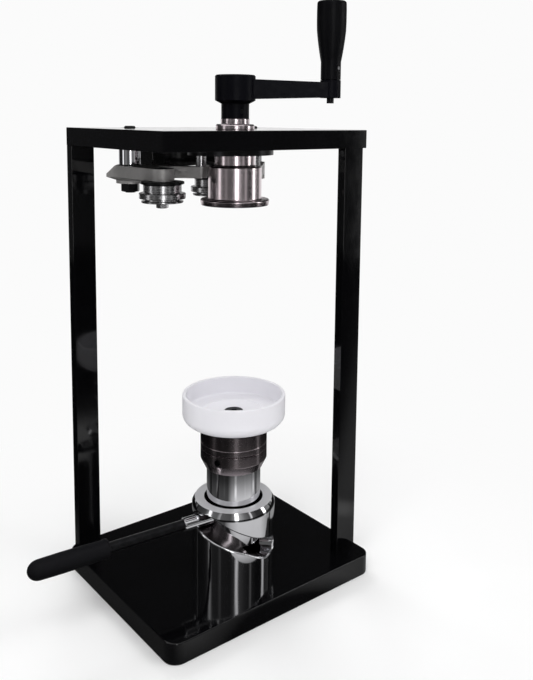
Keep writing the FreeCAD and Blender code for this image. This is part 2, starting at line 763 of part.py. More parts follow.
# Seaming chuck: lip that enters the can end, shoulder and body
chuck_height = chuck_lip_height + chuck_body_height
chuck = turned("seaming_chuck", [
    (chuck_screw_radius + thread_gap, chuck_lip_height),
    (chuck_screw_head + head_gap, chuck_lip_height),
    (chuck_screw_head + head_gap, chuck_recess_depth), (chuck_recess, chuck_recess_depth),
    (chuck_recess + chuck_recess_depth, ZERO), (chuck_lip_radius - chuck_lip_draft, ZERO),
    (chuck_lip_radius, chuck_lip_height - chuck_edge),
    (chuck_lip_radius - chuck_edge, chuck_lip_height), (chuck_radius, chuck_lip_height),
    (chuck_radius, chuck_height - chuck_edge), (chuck_radius - chuck_edge, chuck_height),
    (spindle_radius + thread_gap, chuck_height),
    (spindle_radius + thread_gap, chuck_lip_height + chuck_web),
    (chuck_screw_radius + thread_gap, chuck_lip_height + chuck_web)])
place(chuck, level=chuck_level)
pieces.append(place(
    screw("chuck_screw", chuck_screw_head, chuck_screw_head_height - chuck_recess_depth,
          chuck_screw_radius, chuck_web + chuck_screw_length - screw_end_gap,
          chuck_screw_socket, True),
    level=chuck_level + chuck_lip_height))

# Crank: hub with neck, tapered arm, end boss for the grip axle
crank_hub_bottom = crank_neck_height + crank_cone_height
crank_top = crank_hub_bottom + crank_hub_height
crank = turned("crank_arm", [
    (spindle_radius + thread_gap, ZERO), (crank_neck_radius, ZERO),
    (crank_neck_radius, crank_neck_height), (crank_hub_radius, crank_hub_bottom),
    (crank_hub_radius, crank_top - crank_hub_edge),
    (crank_hub_radius - crank_hub_edge, crank_top),
    (spindle_radius + thread_gap, crank_top)])
arm_start = spindle_radius + crank_wall
pad(crank, outline(crank, [
    (arm_start, crank_arm_level - crank_arm_root / 2.0),
    (crank_reach, crank_arm_level - crank_arm_tip / 2.0),
    (crank_reach, crank_arm_level + crank_arm_tip / 2.0),
    (arm_start, crank_arm_level + crank_arm_root / 2.0)],
    upright(crank_arm_width / 2.0)), crank_arm_width)
pad(crank, circles(crank, [(crank_reach, ZERO, crank_boss_radius)], flat(crank_boss_bottom)),
    crank_boss_height)
pocket(crank, circles(crank, [(crank_reach, ZERO, axle_tail_radius + thread_gap)],
                      flat(crank_top)), crank_top)
radial_hole(crank, crank_pin_turn, crank_pin_rise, crank_pin_radius + thread_gap,
            crank_neck_radius + cut_margin)
place(crank, level=crank_level, turn=crank_angle)
pieces.append(place(
    screw("crank_screw", spindle_radius - head_gap, crank_screw_head_height,
          crank_screw_radius, crank_screw_length, crank_screw_socket, False),
    level=crank_screw_seat))


def radial_pin(label, start, end, radius):
    """A round pin that lies along X from the axis outwards."""
    body = body_named(label)
    sketch = outline(body, [(start, ZERO), (end, ZERO), (end, radius), (start, radius)],
                     upright())
    feature = body.newObject("PartDesign::Revolution", f"{body.Name}_turning")
    feature.Profile = sketch
    feature.ReferenceAxis = (sketch, ["H_Axis"])
    feature.Angle = 360.0
    return body


crank_pin = radial_pin("crank_pin", spindle_radius, crank_neck_radius, crank_pin_radius)
place(crank_pin, level=crank_level + crank_pin_rise, turn=crank_angle + crank_pin_turn)

# Grip axle and revolving grip
axle_shoulder = axle_tail_drop + crank_boss_height
groove_level = axle_shoulder + grip_gap + grip_pin_rise
axle = turned("grip_axle", [
    (ZERO, ZERO), (axle_tail_radius, ZERO), (axle_tail_radius, axle_shoulder),
    (axle_radius, axle_shoulder), (axle_radius, groove_level - axle_groove_half),
    (axle_groove_radius, groove_level - axle_groove_half),
    (axle_groove_radius, groove_level + axle_groove_half),
    (axle_radius, groove_level + axle_groove_half),
    (axle_radius, axle_shoulder + axle_length), (ZERO, axle_shoulder + axle_length)])
place(axle, grip_x, grip_y, grip_level - axle_shoulder)
grip_bore = axle_radius + running_gap
grip = turned("crank_grip", [
    (grip_bore, ZERO), (grip_neck_radius, ZERO), (grip_neck_radius, grip_neck_height),
    (grip_belly_radius, grip_belly_height), (grip_head_radius, grip_head_height),
    (grip_head_radius, grip_height - grip_crown * 2.0),
    (grip_head_radius - grip_crown, grip_height - grip_crown / 2.0),
    (grip_head_radius / 2.0, grip_height), (ZERO, grip_height), (ZERO, grip_bore_depth),
    (grip_bore, grip_bore_depth)])
radial_hole(grip, grip_pin_angle, grip_pin_rise, grip_pin_radius + thread_gap,
            grip_neck_radius + cut_margin)
place(grip, grip_x, grip_y, grip_level + grip_gap)
grip_pin = radial_pin("grip_pin", axle_groove_radius + head_gap, grip_neck_radius,
                      grip_pin_radius)
place(grip_pin, grip_x, grip_y, grip_level + grip_gap + grip_pin_rise, grip_pin_angle)


def tangent_web(body, near, near_radius, far, far_radius, level, height):
    """A flat web whose sides touch a circle at each end."""
    across = far[0] - near[0]
    along = far[1] - near[1]
    span = length_of(across, along)
    lean = arc_cosine((near_radius - far_radius) / span)
    cos_way = across / span
    sin_way = along / span
    corners = []
    for point, radius, side in ((near, near_radius, -1.0), (far, far_radius, -1.0),
                                (far, far_radius, 1.0), (near, near_radius, 1.0)):
        cos_lean = cosine(lean)
        sin_lean = sine(lean) * side
        corners.append((
            point[0] + radius * (cos_way * cos_lean - sin_way * sin_lean),
            point[1] + radius * (sin_way * cos_lean + cos_way * sin_lean)))
    pad(body, outline(body, corners, flat(level)), height)
    pad(body, circles(body, [(far[0], far[1], far_radius)], flat(level)), height)


# Cam: hub, base circle and one nose that presses each arm's cam roller outwards
cam = turned("cam", [
    (spindle_bore, ZERO), (cam_hub_radius, ZERO), (cam_hub_radius, cam_hub_height),
    (cam_disc_radius, cam_hub_height), (cam_disc_radius, cam_hub_height + cam_disc_height),
    (spindle_bore, cam_hub_height + cam_disc_height)])
tangent_web(cam, (ZERO, ZERO), cam_disc_radius, (cam_nose_reach, ZERO), cam_nose_radius,
            cam_hub_height, cam_disc_height)
pocket(cam, circles(cam, [(ZERO, ZERO, spindle_bore)], flat(cam_hub_height + cam_disc_height)),
       cam_hub_height + cam_disc_height)
place(cam, level=cam_level, turn=cam_angle)

# Pivots: flush bolts through the top plate, spacer bushes and nuts
bush_height = arm_top_drop - arm_play
nut_level = arm_level - arm_play - pivot_nut_height
bolt_seat = top_face - pivot_head_sink - pivot_head_height
bolts = []
bushes = []
nuts = []


def nut(label, flats, bore, height, x, y, level, turn):
    body = doc.addObject("PartDesign::Body", label)
    pad(body, outline(body, hexagon(flats), flat()), height)
    pocket(body, circles(body, [(ZERO, ZERO, bore)], flat(height)), height)
    return place(body, x, y, level, turn)


for index, (x, y) in enumerate(pivots):
    bolts.append(place(
        screw(f"pivot_bolt_{index + 1}", pivot_head_radius, pivot_head_height,
              pivot_bolt_radius, bolt_seat - nut_level + pivot_tail, pivot_socket, False),
        x, y, bolt_seat))
    bush = doc.addObject("PartDesign::Body", f"pivot_bush_{index + 1}")
    pad(bush, circles(bush, [(ZERO, ZERO, bush_radius)], flat()), bush_height)
    pocket(bush, circles(bush, [(ZERO, ZERO, pivot_bolt_radius + thread_gap)],
                         flat(bush_height)), bush_height)
    bushes.append(place(bush, x, y, arm_top + arm_play))
    nuts.append(nut(f"pivot_nut_{index + 1}", pivot_nut_flats, pivot_bolt_radius + thread_gap,
                    pivot_nut_height, x, y, nut_level, None))
gather("pivot_bolts", bolts)
gather("pivot_bushes", bushes)
gather("pivot_nuts", nuts)

# Seaming arms: both the same bell crank, one at each pivot, with a seaming
# roller under one end and a cam roller on a stud above the other
roller_spot = (pivot_reach - roller_rest * cosine(roller_angle),
               -(roller_rest * sine(roller_angle)))
follower_spot = (pivot_reach - follower_rest * cosine(follower_angle),
                 follower_rest * sine(follower_angle))
tail_spot = (-arm_tail_back, -arm_tail_side)
web_rise = arm_boss_height - arm_web_height


def seen_from_spindle(pivot_angle, reach, angle):
    turn = pivot_angle + angle
    return (reach * cosine(turn), reach * sine(turn))


for name, pivot_angle, pivot in (("first", first_pivot_angle, pivots[0]),
                                 ("second", second_pivot_angle, pivots[1])):
    arm = body_named(f"{name}_arm")
    pad(arm, circles(arm, [(ZERO, ZERO, arm_boss_radius)], flat()), arm_boss_height)
    for spot, end in ((roller_spot, arm_roller_end), (follower_spot, arm_follower_end),
                      (tail_spot, arm_tail_end)):
        tangent_web(arm, (ZERO, ZERO), arm_boss_radius, spot, end, web_rise, arm_web_height)
    pocket(arm, circles(arm, [
        (ZERO, ZERO, pivot_bolt_radius + running_gap),
        (roller_spot[0], roller_spot[1], roller_pin_radius + thread_gap),
        (follower_spot[0], follower_spot[1], stud_radius + thread_gap)],
        flat(arm_boss_height)), arm_boss_height)
    place(arm, pivot[0], pivot[1], arm_level, pivot_angle + 180.0)

    roller_x, roller_y = seen_from_spindle(pivot_angle, roller_rest, roller_angle)
    stud_x, stud_y = seen_from_spindle(pivot_angle, follower_rest, -follower_angle)
    nut_top = roller_nut_height
    roller_bottom = nut_top + roller_end_gap
    roller_top = roller_bottom + roller_height
    web_bottom = roller_top + roller_end_gap + roller_collar_height
    pin_top = web_bottom + arm_web_height
    roller_pin = turned(f"{name}_roller_pin", [
        (ZERO, -roller_pin_tip), (roller_thread_radius, -roller_pin_tip),
        (roller_thread_radius, nut_top), (roller_pin_radius, nut_top),
        (roller_pin_radius, roller_top + roller_end_gap),
        (roller_collar_radius, roller_top + roller_end_gap),
        (roller_collar_radius, web_bottom), (roller_pin_radius, web_bottom),
        (roller_pin_radius, pin_top), (ZERO, pin_top)])
    place(roller_pin, roller_x, roller_y, web_level - web_bottom)
    pieces.append(nut(f"{name}_roller_nut", roller_nut_flats, roller_thread_radius + thread_gap,
                      roller_nut_height, roller_x, roller_y, web_level - web_bottom,
                      pivot_angle))

    bore = roller_pin_radius + running_gap
    lip_top = roller_lip_height
    groove_top = lip_top + roller_groove_height
    disc_top = groove_top + roller_flange_height
    neck_top = disc_top + roller_neck_height
    roller = turned(f"{name}_roller", [
        (bore, ZERO), (roller_lip_radius - roller_edge, ZERO), (roller_lip_radius, roller_edge),
        (roller_lip_radius, lip_top), (roller_groove_radius, lip_top + roller_edge),
        (roller_groove_radius, groove_top - roller_edge), (roller_flange_radius, groove_top),
        (roller_flange_radius, disc_top - roller_edge),
        (roller_flange_radius - roller_edge, disc_top), (roller_neck_radius, disc_top),
        (roller_neck_radius, neck_top), (roller_head_radius, neck_top),
        (roller_head_radius, roller_height - roller_edge),
        (roller_head_radius - roller_edge, roller_height), (bore, roller_height)])
    place(roller, roller_x, roller_y, roller_level)

    shoulder_top = cam_disc_level - web_level - stud_play
    roller_room = cam_roller_height + stud_play * 2.0
    stud = turned(f"{name}_cam_stud", [
        (ZERO, ZERO), (stud_radius, ZERO), (stud_radius, arm_web_height),
        (stud_shoulder_radius, arm_web_height), (stud_shoulder_radius, shoulder_top),
        (stud_radius, shoulder_top), (stud_radius, shoulder_top + roller_room),
        (stud_head_radius, shoulder_top + roller_room),
        (stud_head_radius, shoulder_top + roller_room + stud_head_height),
        (ZERO, shoulder_top + roller_room + stud_head_height)])
    place(stud, stud_x, stud_y, web_level)
    cam_roller = turned(f"{name}_cam_roller", [
        (stud_radius + running_gap, ZERO), (cam_roller_radius - roller_edge, ZERO),
        (cam_roller_radius, roller_edge), (cam_roller_radius, cam_roller_height - roller_edge),
        (cam_roller_radius - roller_edge, cam_roller_height),
        (stud_radius + running_gap, cam_roller_height)])
    place(cam_roller, stud_x, stud_y, cam_disc_level)

# Lift tube with a cross hole for the lever stub
tube_length = tube_below_stub + tube_above_stub
tube = turned("lift_tube", [
    (tube_bore, ZERO), (tube_radius, ZERO), (tube_radius, tube_length), (tube_bore, tube_length)])
radial_hole(tube, lever_rest_angle, tube_below_stub, stub_radius + thread_gap,
            tube_radius + cut_margin)
radial_hole(tube, lever_rest_angle + 180.0, tube_below_stub, stub_radius + thread_gap,
            stub_inside + head_gap)
place(tube, level=stub_level - tube_below_stub)

# Locking collar with its sunk set screw
collar_bore = tube_radius + thread_gap
collar = turned("locking_collar", [
    (collar_bore, ZERO), (collar_toe, ZERO), (collar_radius, collar_height - collar_land),
    (collar_radius, collar_height), (collar_bore, collar_height)])
radial_hole(collar, collar_screw_angle, collar_screw_rise, collar_screw_radius + collar_screw_gap,
            collar_radius + cut_margin)
place(collar, level=collar_level)
collar_screw = radial_pin("collar_screw", tube_radius, tube_radius + collar_screw_length,
                          collar_screw_radius)
place(collar_screw, level=collar_level + collar_screw_rise, turn=collar_screw_angle)

# Bearing housing on top of the tube, thrust bearing inside it
bearing_seat = housing_socket + housing_web
housing_seat = bearing_outer + fit_gap
housing = turned("bearing_housing", [
    (collar_bore, ZERO), (collar_radius - housing_edge, ZERO), (collar_radius, housing_edge),
    (collar_radius, housing_height - housing_edge),
    (collar_radius - housing_edge, housing_height), (housing_seat, housing_height),
    (housing_seat, bearing_seat), (housing_web_bore, bearing_seat),
    (housing_web_bore, housing_socket), (collar_bore, housing_socket)])
place(housing, level=housing_level)
bearing = turned("cup_bearing", [
    (bearing_inner, ZERO), (bearing_inner + bearing_race, ZERO),
    (bearing_inner + bearing_race, bearing_shield), (bearing_outer - bearing_race, bearing_shield),
    (bearing_outer - bearing_race, ZERO), (bearing_outer, ZERO), (bearing_outer, bearing_width),
    (bearing_outer - bearing_race, bearing_width),
    (bearing_outer - bearing_race, bearing_width - bearing_shield),
    (bearing_inner + bearing_race, bearing_width - bearing_shield),
    (bearing_inner + bearing_race, bearing_width), (bearing_inner, bearing_width)])
place(bearing, level=housing_level + bearing_seat + bearing_gap)

# Can cup: white cup with a pocket for the can, its shaft and its screw
cup_recess = cup_flange_height
cup = turned("can_cup", [
    (cup_screw_radius + head_gap, cup_recess), (cup_flange_radius + head_gap, cup_recess),
    (cup_flange_radius + head_gap, ZERO), (cup_radius, ZERO), (cup_radius, cup_height),
    (cup_pocket + cup_lip, cup_height), (cup_pocket, cup_height - cup_lip),
    (cup_pocket, cup_floor), (cup_screw_head + head_gap, cup_floor),
    (cup_screw_head + head_gap, cup_floor - cup_screw_head_height - pivot_head_sink),
    (cup_screw_radius + head_gap, cup_floor - cup_screw_head_height - pivot_head_sink)])


def outer_heel(edge):
    box = edge.BoundBox
    return abs(box.ZMin) < 1e-6 and box.ZLength < 1e-6 and box.XLength > cup_radius.number * 1.9


round_edges(cup, cup_heel, outer_heel)
place(cup, level=cup_level)
cup_shaft = turned("cup_shaft", [
    (cup_screw_radius + thread_gap, cup_shaft_length + cup_flange_height),
    (cup_flange_radius, cup_shaft_length + cup_flange_height),
    (cup_flange_radius, cup_shaft_length), (cup_shaft_radius, cup_shaft_length),
    (cup_shaft_radius, ZERO), (cup_screw_radius + thread_gap, ZERO)])
place(cup_shaft, level=cup_level - cup_shaft_length)
cup_screw_seat = cup_level + cup_floor - cup_screw_head_height - pivot_head_sink
pieces.append(place(
    screw("cup_screw", cup_screw_head, cup_screw_head_height, cup_screw_radius,
          cup_screw_length, cup_screw_socket, False), level=cup_screw_seat))

# Lever: chrome stub in the tube, black rod, dark grip
stub = turned("lever_stub", [
    (-stub_inside, ZERO), (stub_reach - stub_socket, ZERO), (stub_reach - stub_socket, rod_radius),
    (stub_reach, rod_radius), (stub_reach, stub_radius - stub_chamfer),
    (stub_reach - stub_chamfer, stub_radius), (-stub_inside, stub_radius)], "H_Axis")
place(stub, level=stub_level, turn=lever_rest_angle)
rod = turned("lever_rod", [
    (stub_reach - stub_socket, ZERO), (rod_reach, ZERO), (rod_reach, rod_radius - thread_gap),
    (stub_reach - stub_socket, rod_radius - thread_gap)], "H_Axis")
place(rod, level=stub_level, turn=lever_rest_angle)
lever_grip_start = lever_reach - lever_grip_length
lever_grip = turned("lever_grip", [
    (lever_grip_start, rod_radius), (lever_grip_start, lever_grip_radius - lever_grip_round),
    (lever_grip_start + lever_grip_round, lever_grip_radius),
    (lever_reach - lever_grip_nose, lever_grip_radius),
    (lever_reach - lever_grip_shoulder, lever_grip_shoulder_radius),
    (lever_reach, lever_grip_tip_radius), (lever_reach, ZERO), (rod_reach, ZERO),
    (rod_reach, rod_radius)], "H_Axis")
place(lever_grip, level=stub_level, turn=lever_rest_angle)

# Every piece is checked before it is written
doc.recompute()
for piece in pieces:
    shape = piece.Shape
    if "Up-to-date" not in piece.State or shape.isNull() or not shape.isValid():
        raise RuntimeError(f"{piece.Label} did not build: {piece.State}")
    if not shape.Solids or shape.Volume <= 0:
        raise RuntimeError(f"{piece.Label} holds no solid")
for thing in doc.Objects:
    if "Invalid" in thing.State or "Error" in thing.State:
        raise RuntimeError(f"{thing.Name} is in state {thing.State}")
for piece in pieces:
    piece.Shape.exportStep(f"parts/{piece.Label}.step")
    print(piece.Label, len(piece.Shape.Solids), round(piece.Shape.Volume, 1))
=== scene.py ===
import json
from math import atan2, cos, degrees, hypot, pi, radians, sin, sqrt, tau

import bmesh
import bpy
from bpy.props import FloatProperty, FloatVectorProperty, IntProperty, PointerProperty
from mathutils import Matrix, Vector


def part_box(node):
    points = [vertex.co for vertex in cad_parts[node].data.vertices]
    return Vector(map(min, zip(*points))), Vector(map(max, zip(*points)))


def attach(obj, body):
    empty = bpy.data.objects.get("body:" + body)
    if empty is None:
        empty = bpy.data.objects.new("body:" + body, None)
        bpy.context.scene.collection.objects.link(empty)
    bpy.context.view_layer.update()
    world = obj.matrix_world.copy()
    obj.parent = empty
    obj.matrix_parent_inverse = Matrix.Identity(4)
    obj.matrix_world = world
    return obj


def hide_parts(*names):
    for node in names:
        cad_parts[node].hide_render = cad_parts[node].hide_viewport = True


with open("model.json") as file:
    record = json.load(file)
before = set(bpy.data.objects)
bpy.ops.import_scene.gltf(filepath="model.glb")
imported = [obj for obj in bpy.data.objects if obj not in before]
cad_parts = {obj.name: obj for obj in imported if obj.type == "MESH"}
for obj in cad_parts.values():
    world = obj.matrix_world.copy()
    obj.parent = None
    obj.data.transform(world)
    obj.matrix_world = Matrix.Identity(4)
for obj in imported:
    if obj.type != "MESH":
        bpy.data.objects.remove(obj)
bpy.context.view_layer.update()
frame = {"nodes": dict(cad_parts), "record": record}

bl_info = {
    "name": "Can seamer dressing",
    "version": (1, 0, 0),
    "blender": (4, 5, 0),
    "location": "3D View > Sidebar > Can seamer",
    "description": "Dresses the packed can seamer with its finished pieces and materials",
    "category": "Object",
}

MM = 0.001


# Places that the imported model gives, in millimetres

def low(node):
    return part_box(node)[0].z / MM


def high(node):
    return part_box(node)[1].z / MM


def middle(node):
    """Centre of a node seen from above."""
    lowest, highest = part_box(node)
    return ((lowest.x + highest.x) / 2 / MM, (lowest.y + highest.y) / 2 / MM)


# Directions are in degrees from the X axis, and lengths in millimetres

LEVER_TURN = 175.0
STUB_LEVEL = (low("lever_stub") + high("lever_stub")) / 2
PIVOT_REACH = 88.0
PIVOTS = [tuple(PIVOT_REACH * share(radians(angle)) for share in (cos, sin))
          for angle in (122.3, 44.1)]
# How far the backing bar's lower edge, this deep, comes down towards the arms
BAR_LIP = 1.0
BAR_DROP = 3.0
# Where an arm's tail is cut, from its pivot, and the slope over it. The web's underside drops
# past BOSS_START on the tail's side, as far as BOSS_REACH from the pivot
TAIL_TURN = 20.4
TAIL_REACH = 17.8
TAIL_SLOPE_START = 10.8
TAIL_SLOPE = (6.5, 7.0)
TAIL_DROP = 2.6
WEB_DEPTH = 9.0
BOSS_START = 3.0
BOSS_REACH = 11.3
# Rise of a nut's cut corners, and how far the cut comes in past the flats
NUT_CHAMFER = 0.577
NUT_CROWN = 0.15
# Shoulder: its start, height and draw, and the share of its height at which it is cut once
# more. Mouth: where the bore begins and ends to open, and the wall left there
SLEEVE_RADIUS = 32.5
SLEEVE_HEIGHT = 55.5
SLEEVE_WALL = 11.45
SLEEVE_STEPS = 120
SHOULDER = (51.9, 3.6, 2.2)
SHOULDER_BREAK = 0.85
MOUTH = (47.05, 49.0, 9.5)
# Both runs of the slot: direction and height of each end, and half height
SLOT_RUNS = ((175.0, 43.3, 300.0, 21.3, 6.2), (197.0, 45.5, 285.0, 21.2, 7.0))
RUN_STEPS = 72
TIP_STEPS = 12
# The slot's walls carry painted shade, a darker copy of the plate, up to this direction and stay
# bright beyond
SLOT_SHADE_TO = 288.0
# Locking collar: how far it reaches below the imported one, the upright band that carries
# the set screw, and the screw's direction and hole
COLLAR_RADIUS = 25.8
SKIRT = 6.2
SCREW_BAND = (1.5, 7.3)
SCREW_TURN = 205.0
SCREW_SPREAD = 7.0
SCREW_HOLE = 2.6
SCREW_DEPTH = 3.2
# Grooves along the lever stub: their number, where they begin along it, and the radius
# outside which its skin moves in
STUB_GROOVES = 8
GROOVE_START = 23.0
STUB_CORE = 4.9
# Lever grip at its tip: radius, where the dome begins along the lever, and the dome's length
GRIP_RADIUS = 6.9
GRIP_TIP = 155.0
GRIP_DOME = 8.0

# The stage: camera in millimetres and radians, everything else in metres
CAMERA_PLACE = (-351.0, -475.9, 367.1)
CAMERA_TURN = (0.89487, 0.12354, 0.00956)
CAMERA_LENS_PIXELS = 791.1
CAMERA_SHIFT = -0.185
FRAME_HEIGHT_PIXELS = 680.0
SENSOR = 36.0
WALL_DISTANCE = 1.5
WALL_HEIGHT = 1.7
FLOOR_SIZE = 6.0
# The floor lies just under the base, and the floor that reflections see just over it
FLOOR_LEVEL = -0.0002
REFLECTED_FLOOR_LEVEL = 0.0005
# Distances between which the floor turns from taking shadow to plain white
FLOOR_PLAIN = (0.12, 0.36)
# Each lamp: place, width, height and watts
LAMPS = {"key_light": ((-1.2, -0.9, 1.9), 1.1, 1.1, 19.0),
         "fill_light": ((0.9, -1.3, 1.8), 1.0, 1.0, 9.5),
         "back_light": ((0.4, 1.6, 1.7), 1.2, 0.8, 11.4)}
LAMP_AIM = (0, 0, 0.2)
AMBIENT = 0.62
# Surroundings that only reflections see: direction and share of the brightest
PER_DEGREE = 1 / 360
BRIGHTEST = 6.4
SURROUNDINGS = (
    (0, 0.015), (20, 0.005), (90, 0.004), (108, 0.007), (137, 0.007), (150, 0.01), (160, 0.03),
    (164, 0.35), (168, 0.25), (173, 0.025), (190, 0.02), (198, 0.07), (201, 0.02), (226, 0.015),
    (237, 0.05), (240, 1.0), (244, 1.0), (248, 0.08), (264, 0.03), (277, 0.015), (282, 0.17),
    (285, 0.02), (298, 0.006), (317.5, 0.006), (320, 0.8), (324, 1.0), (328, 0.03), (345, 0.05),
    (360, 0.015))
# Bright foot of the surroundings behind: height, direction and tone
WALL_FOOT = ((0.0, 1.0), (0.42, 1.0), (0.50, 0.0))
WALL_FOOT_SIDES = ((0, 0.0), (4, 1.0), (100, 1.0), (106, 0.0))
WALL_FOOT_TONE = (0.15, 0.15, 0.15, 1.0)
# Reflected floor: tone by distance, share of that tone by direction, the distance at which
# the tones of the surroundings take over, and how those fade
# Near the base the reflected floor is dark: a painted shadow that the chrome and gloss reflect
FLOOR_RING = ((0.0, 0.005), (0.074, 0.005), (0.1, 0.1), (0.17, 0.12), (0.22, 0.06))
FLOOR_SIDES = ((0, 0.5), (120, 0.1), (212, 0.1), (228, 0.7), (245, 1.0), (305, 1.0),
               (330, 0.5))
FLOOR_REACH = ((0.17, 0.0), (0.24, 0.85), (0.32, 1.0))
FLOOR_FADE = ((0.165, 1.0), (0.205, 0.06))


# Sizes and colours that a user would change

def hex_colour(text):
    """An sRGB hex value as a linear colour."""
    channels = []
    for start in (0, 2, 4):
        value = int(text[start:start + 2], 16) / 255
        channels.append(value / 12.92 if value <= 0.04045 else ((value + 0.055) / 1.055) ** 2.4)
    return tuple(channels)


def length(name, description, default):
    return FloatProperty(name=name, description=description, default=default * MM, min=0.0,
                         max=0.1, unit="LENGTH", precision=5)


def colour(name, description, text):
    return FloatVectorProperty(name=name, description=description, default=hex_colour(text),
                               size=3, min=0.0, max=1.0, subtype="COLOR")


class SeamerSizes(bpy.types.PropertyGroup):
    casting_edge: length("Casting edge", "Rounded edges of the crank casting", 1.3)
    arm_edge: length("Arm edge", "Rounded edges of the seaming arms", 0.9)
    turned_edge: length("Turned edge", "Broken edges of most turned pieces", 0.12)
    slot_bevel: length("Slot bevel", "Bevel round the mouth of the helical slot", 1.2)
    cup_lip_round: length("Cup lip", "Rounding of the cup's lip", 1.0)
    stub_groove: length("Stub groove", "Depth of the grooves along the lever stub", 0.45)
    round_steps: IntProperty(name="Round steps", description="Steps round a turned piece",
                             default=96, min=24, max=256)


class SeamerColours(bpy.types.PropertyGroup):
    powder_coat: colour("Powder coat", "Gloss black powder coat of the frame", "040405")
    enamel: colour("Enamel", "Satin black enamel of the crank", "07070C")
    chrome: colour("Chrome", "Polished chrome plate", "DADADD")
    satin_chrome: colour("Satin chrome", "Chrome plate over a turned skin", "ADA3A6")
    tool_steel: colour("Tool steel", "Ground tool steel of rollers and pins", "BDBCBE")
    casting: colour("Casting", "Bead-blasted steel of the arms", "B9B7B6")
    black_oxide: colour("Black oxide", "Black oxide on screws, nuts and cam", "0E0E10")
    bronze: colour("Bronze", "Sintered bronze of the spindle bearings", "9C7A45")
    nylon: colour("Nylon", "White turned nylon of the can cup", "EBEAEF")
    moulded_nylon: colour("Moulded nylon", "Black moulded nylon of the crank grip", "060608")
    soft_grip: colour("Soft grip", "Dark dipped vinyl of the lever grip", "09090C")
    floor: colour("Floor", "Pale studio floor", "FBFBFB")


def sizes():
    return bpy.context.scene.seamer_sizes


def colours():
    return bpy.context.scene.seamer_colours


# Materials

def add_node(tree, kind, inputs=None, **settings):
    """Add a node, set its settings, and link or set its inputs."""
    node = tree.nodes.new(kind)
    for name, value in settings.items():
        setattr(node, name, value)
    for name, value in (inputs or {}).items():
        socket = node.inputs[name]
        if isinstance(value, bpy.types.NodeSocket):
            tree.links.new(value, socket)
        else:
            socket.default_value = value
    return node


def blank(name):
    """A new material, its empty tree, and the piece's own coordinates."""
    material = bpy.data.materials.new(name)
    material.use_nodes = True
    tree = material.node_tree
    tree.nodes.clear()
    return material, tree, add_node(tree, "ShaderNodeTexCoord").outputs["Object"]


def lighter(base, factor):
    return tuple(min(1.0, channel * factor) for channel in base)


class Surface:
    """A finish in the making: its shader, and the patterns on it."""

    def __init__(self, name, paint, values, tone=1.0):
        self.material, self.tree, self.where = blank(name)
        self.base = lighter(getattr(colours(), paint), tone)
        self.skin = None
        self.shader = add_node(self.tree, "ShaderNodeBsdfPrincipled", values)
        self.output = add_node(self.tree, "ShaderNodeOutputMaterial", {
            "Surface": self.shader.outputs["BSDF"]})

    def grain(self, size_mm, detail):
        """Uneven patches of about a real size in millimetres."""
        return add_node(self.tree, "ShaderNodeTexNoise", {
            "Vector": self.where, "Scale": 1.0 / (size_mm * MM), "Detail": detail,
            "Roughness": 0.55}).outputs["Fac"]

    def rings(self, pitch_mm, faced=False):
        """Uneven rings left by a lathe, along the axis or, on a faced end, out from it."""
        if faced:
            flat = add_node(self.tree, "ShaderNodeVectorMath", {
                0: self.where, 1: (1.0, 1.0, 0.0)}, operation="MULTIPLY").outputs["Vector"]
            travel = add_node(self.tree, "ShaderNodeVectorMath", {0: flat},
                              operation="LENGTH").outputs["Value"]
        else:
            travel = add_node(self.tree, "ShaderNodeSeparateXYZ", {
                "Vector": self.where}).outputs["Z"]
        line = add_node(self.tree, "ShaderNodeCombineXYZ", {"X" if faced else "Z": travel})
        return add_node(self.tree, "ShaderNodeTexNoise", {
            "Vector": line.outputs["Vector"], "Scale": 1.0 / (pitch_mm * MM),
            "Detail": 2.0}).outputs["Fac"]

    def tint(self, pattern, first, second):
        """Base colour between two shades of itself."""
        shades = [(*lighter(self.base, factor), 1.0) for factor in (first, second)]
        mix = add_node(self.tree, "ShaderNodeMix", {
            "Factor": pattern, 6: shades[0], 7: shades[1]}, data_type="RGBA")
        self.tree.links.new(mix.outputs[2], self.shader.inputs["Base Color"])

    def shine(self, pattern, first, second):
        """Roughness between two values."""
        span = add_node(self.tree, "ShaderNodeMapRange", {
            "Value": pattern, "From Min": 0.3, "From Max": 0.7, "To Min": first,
            "To Max": second})
        self.tree.links.new(span.outputs["Result"], self.shader.inputs["Roughness"])

    def relief(self, pattern, depth_mm, strength):
        """Bump of a real depth, over an earlier bump if there is one."""
        inputs = {"Height": pattern, "Distance": depth_mm * MM, "Strength": strength}
        if self.skin is not None:
            inputs["Normal"] = self.skin
        self.skin = add_node(self.tree, "ShaderNodeBump", inputs).outputs["Normal"]
        self.tree.links.new(self.skin, self.shader.inputs["Normal"])


def powder_coat():
    """Polyester powder coat, sprayed and baked: gloss black with faint orange peel."""
    coat = Surface("gloss_black_powder_coat", "powder_coat", {"IOR": 1.48})
    coat.tint(coat.grain(22.0, 4.0), 1.0, 1.6)
    coat.shine(coat.grain(9.0, 5.0), 0.05, 0.09)
    # Orange peel is about 2 mm from crest to crest and a few microns deep
    coat.relief(coat.grain(2.2, 1.5), 0.01, 0.25)
    return coat


def enamel():
    """Satin enamel sprayed on a sand casting: low sheen over a slightly uneven skin."""
    coat = Surface("satin_black_enamel", "enamel", {"IOR": 1.47, "Specular IOR Level": 0.07})
    coat.tint(coat.grain(14.0, 4.0), 0.8, 1.35)
    coat.shine(coat.grain(5.0, 4.0), 0.34, 0.5)
    coat.relief(coat.grain(6.0, 2.0), 0.25, 0.35)
    coat.relief(coat.grain(0.9, 2.0), 0.03, 0.4)
    return coat


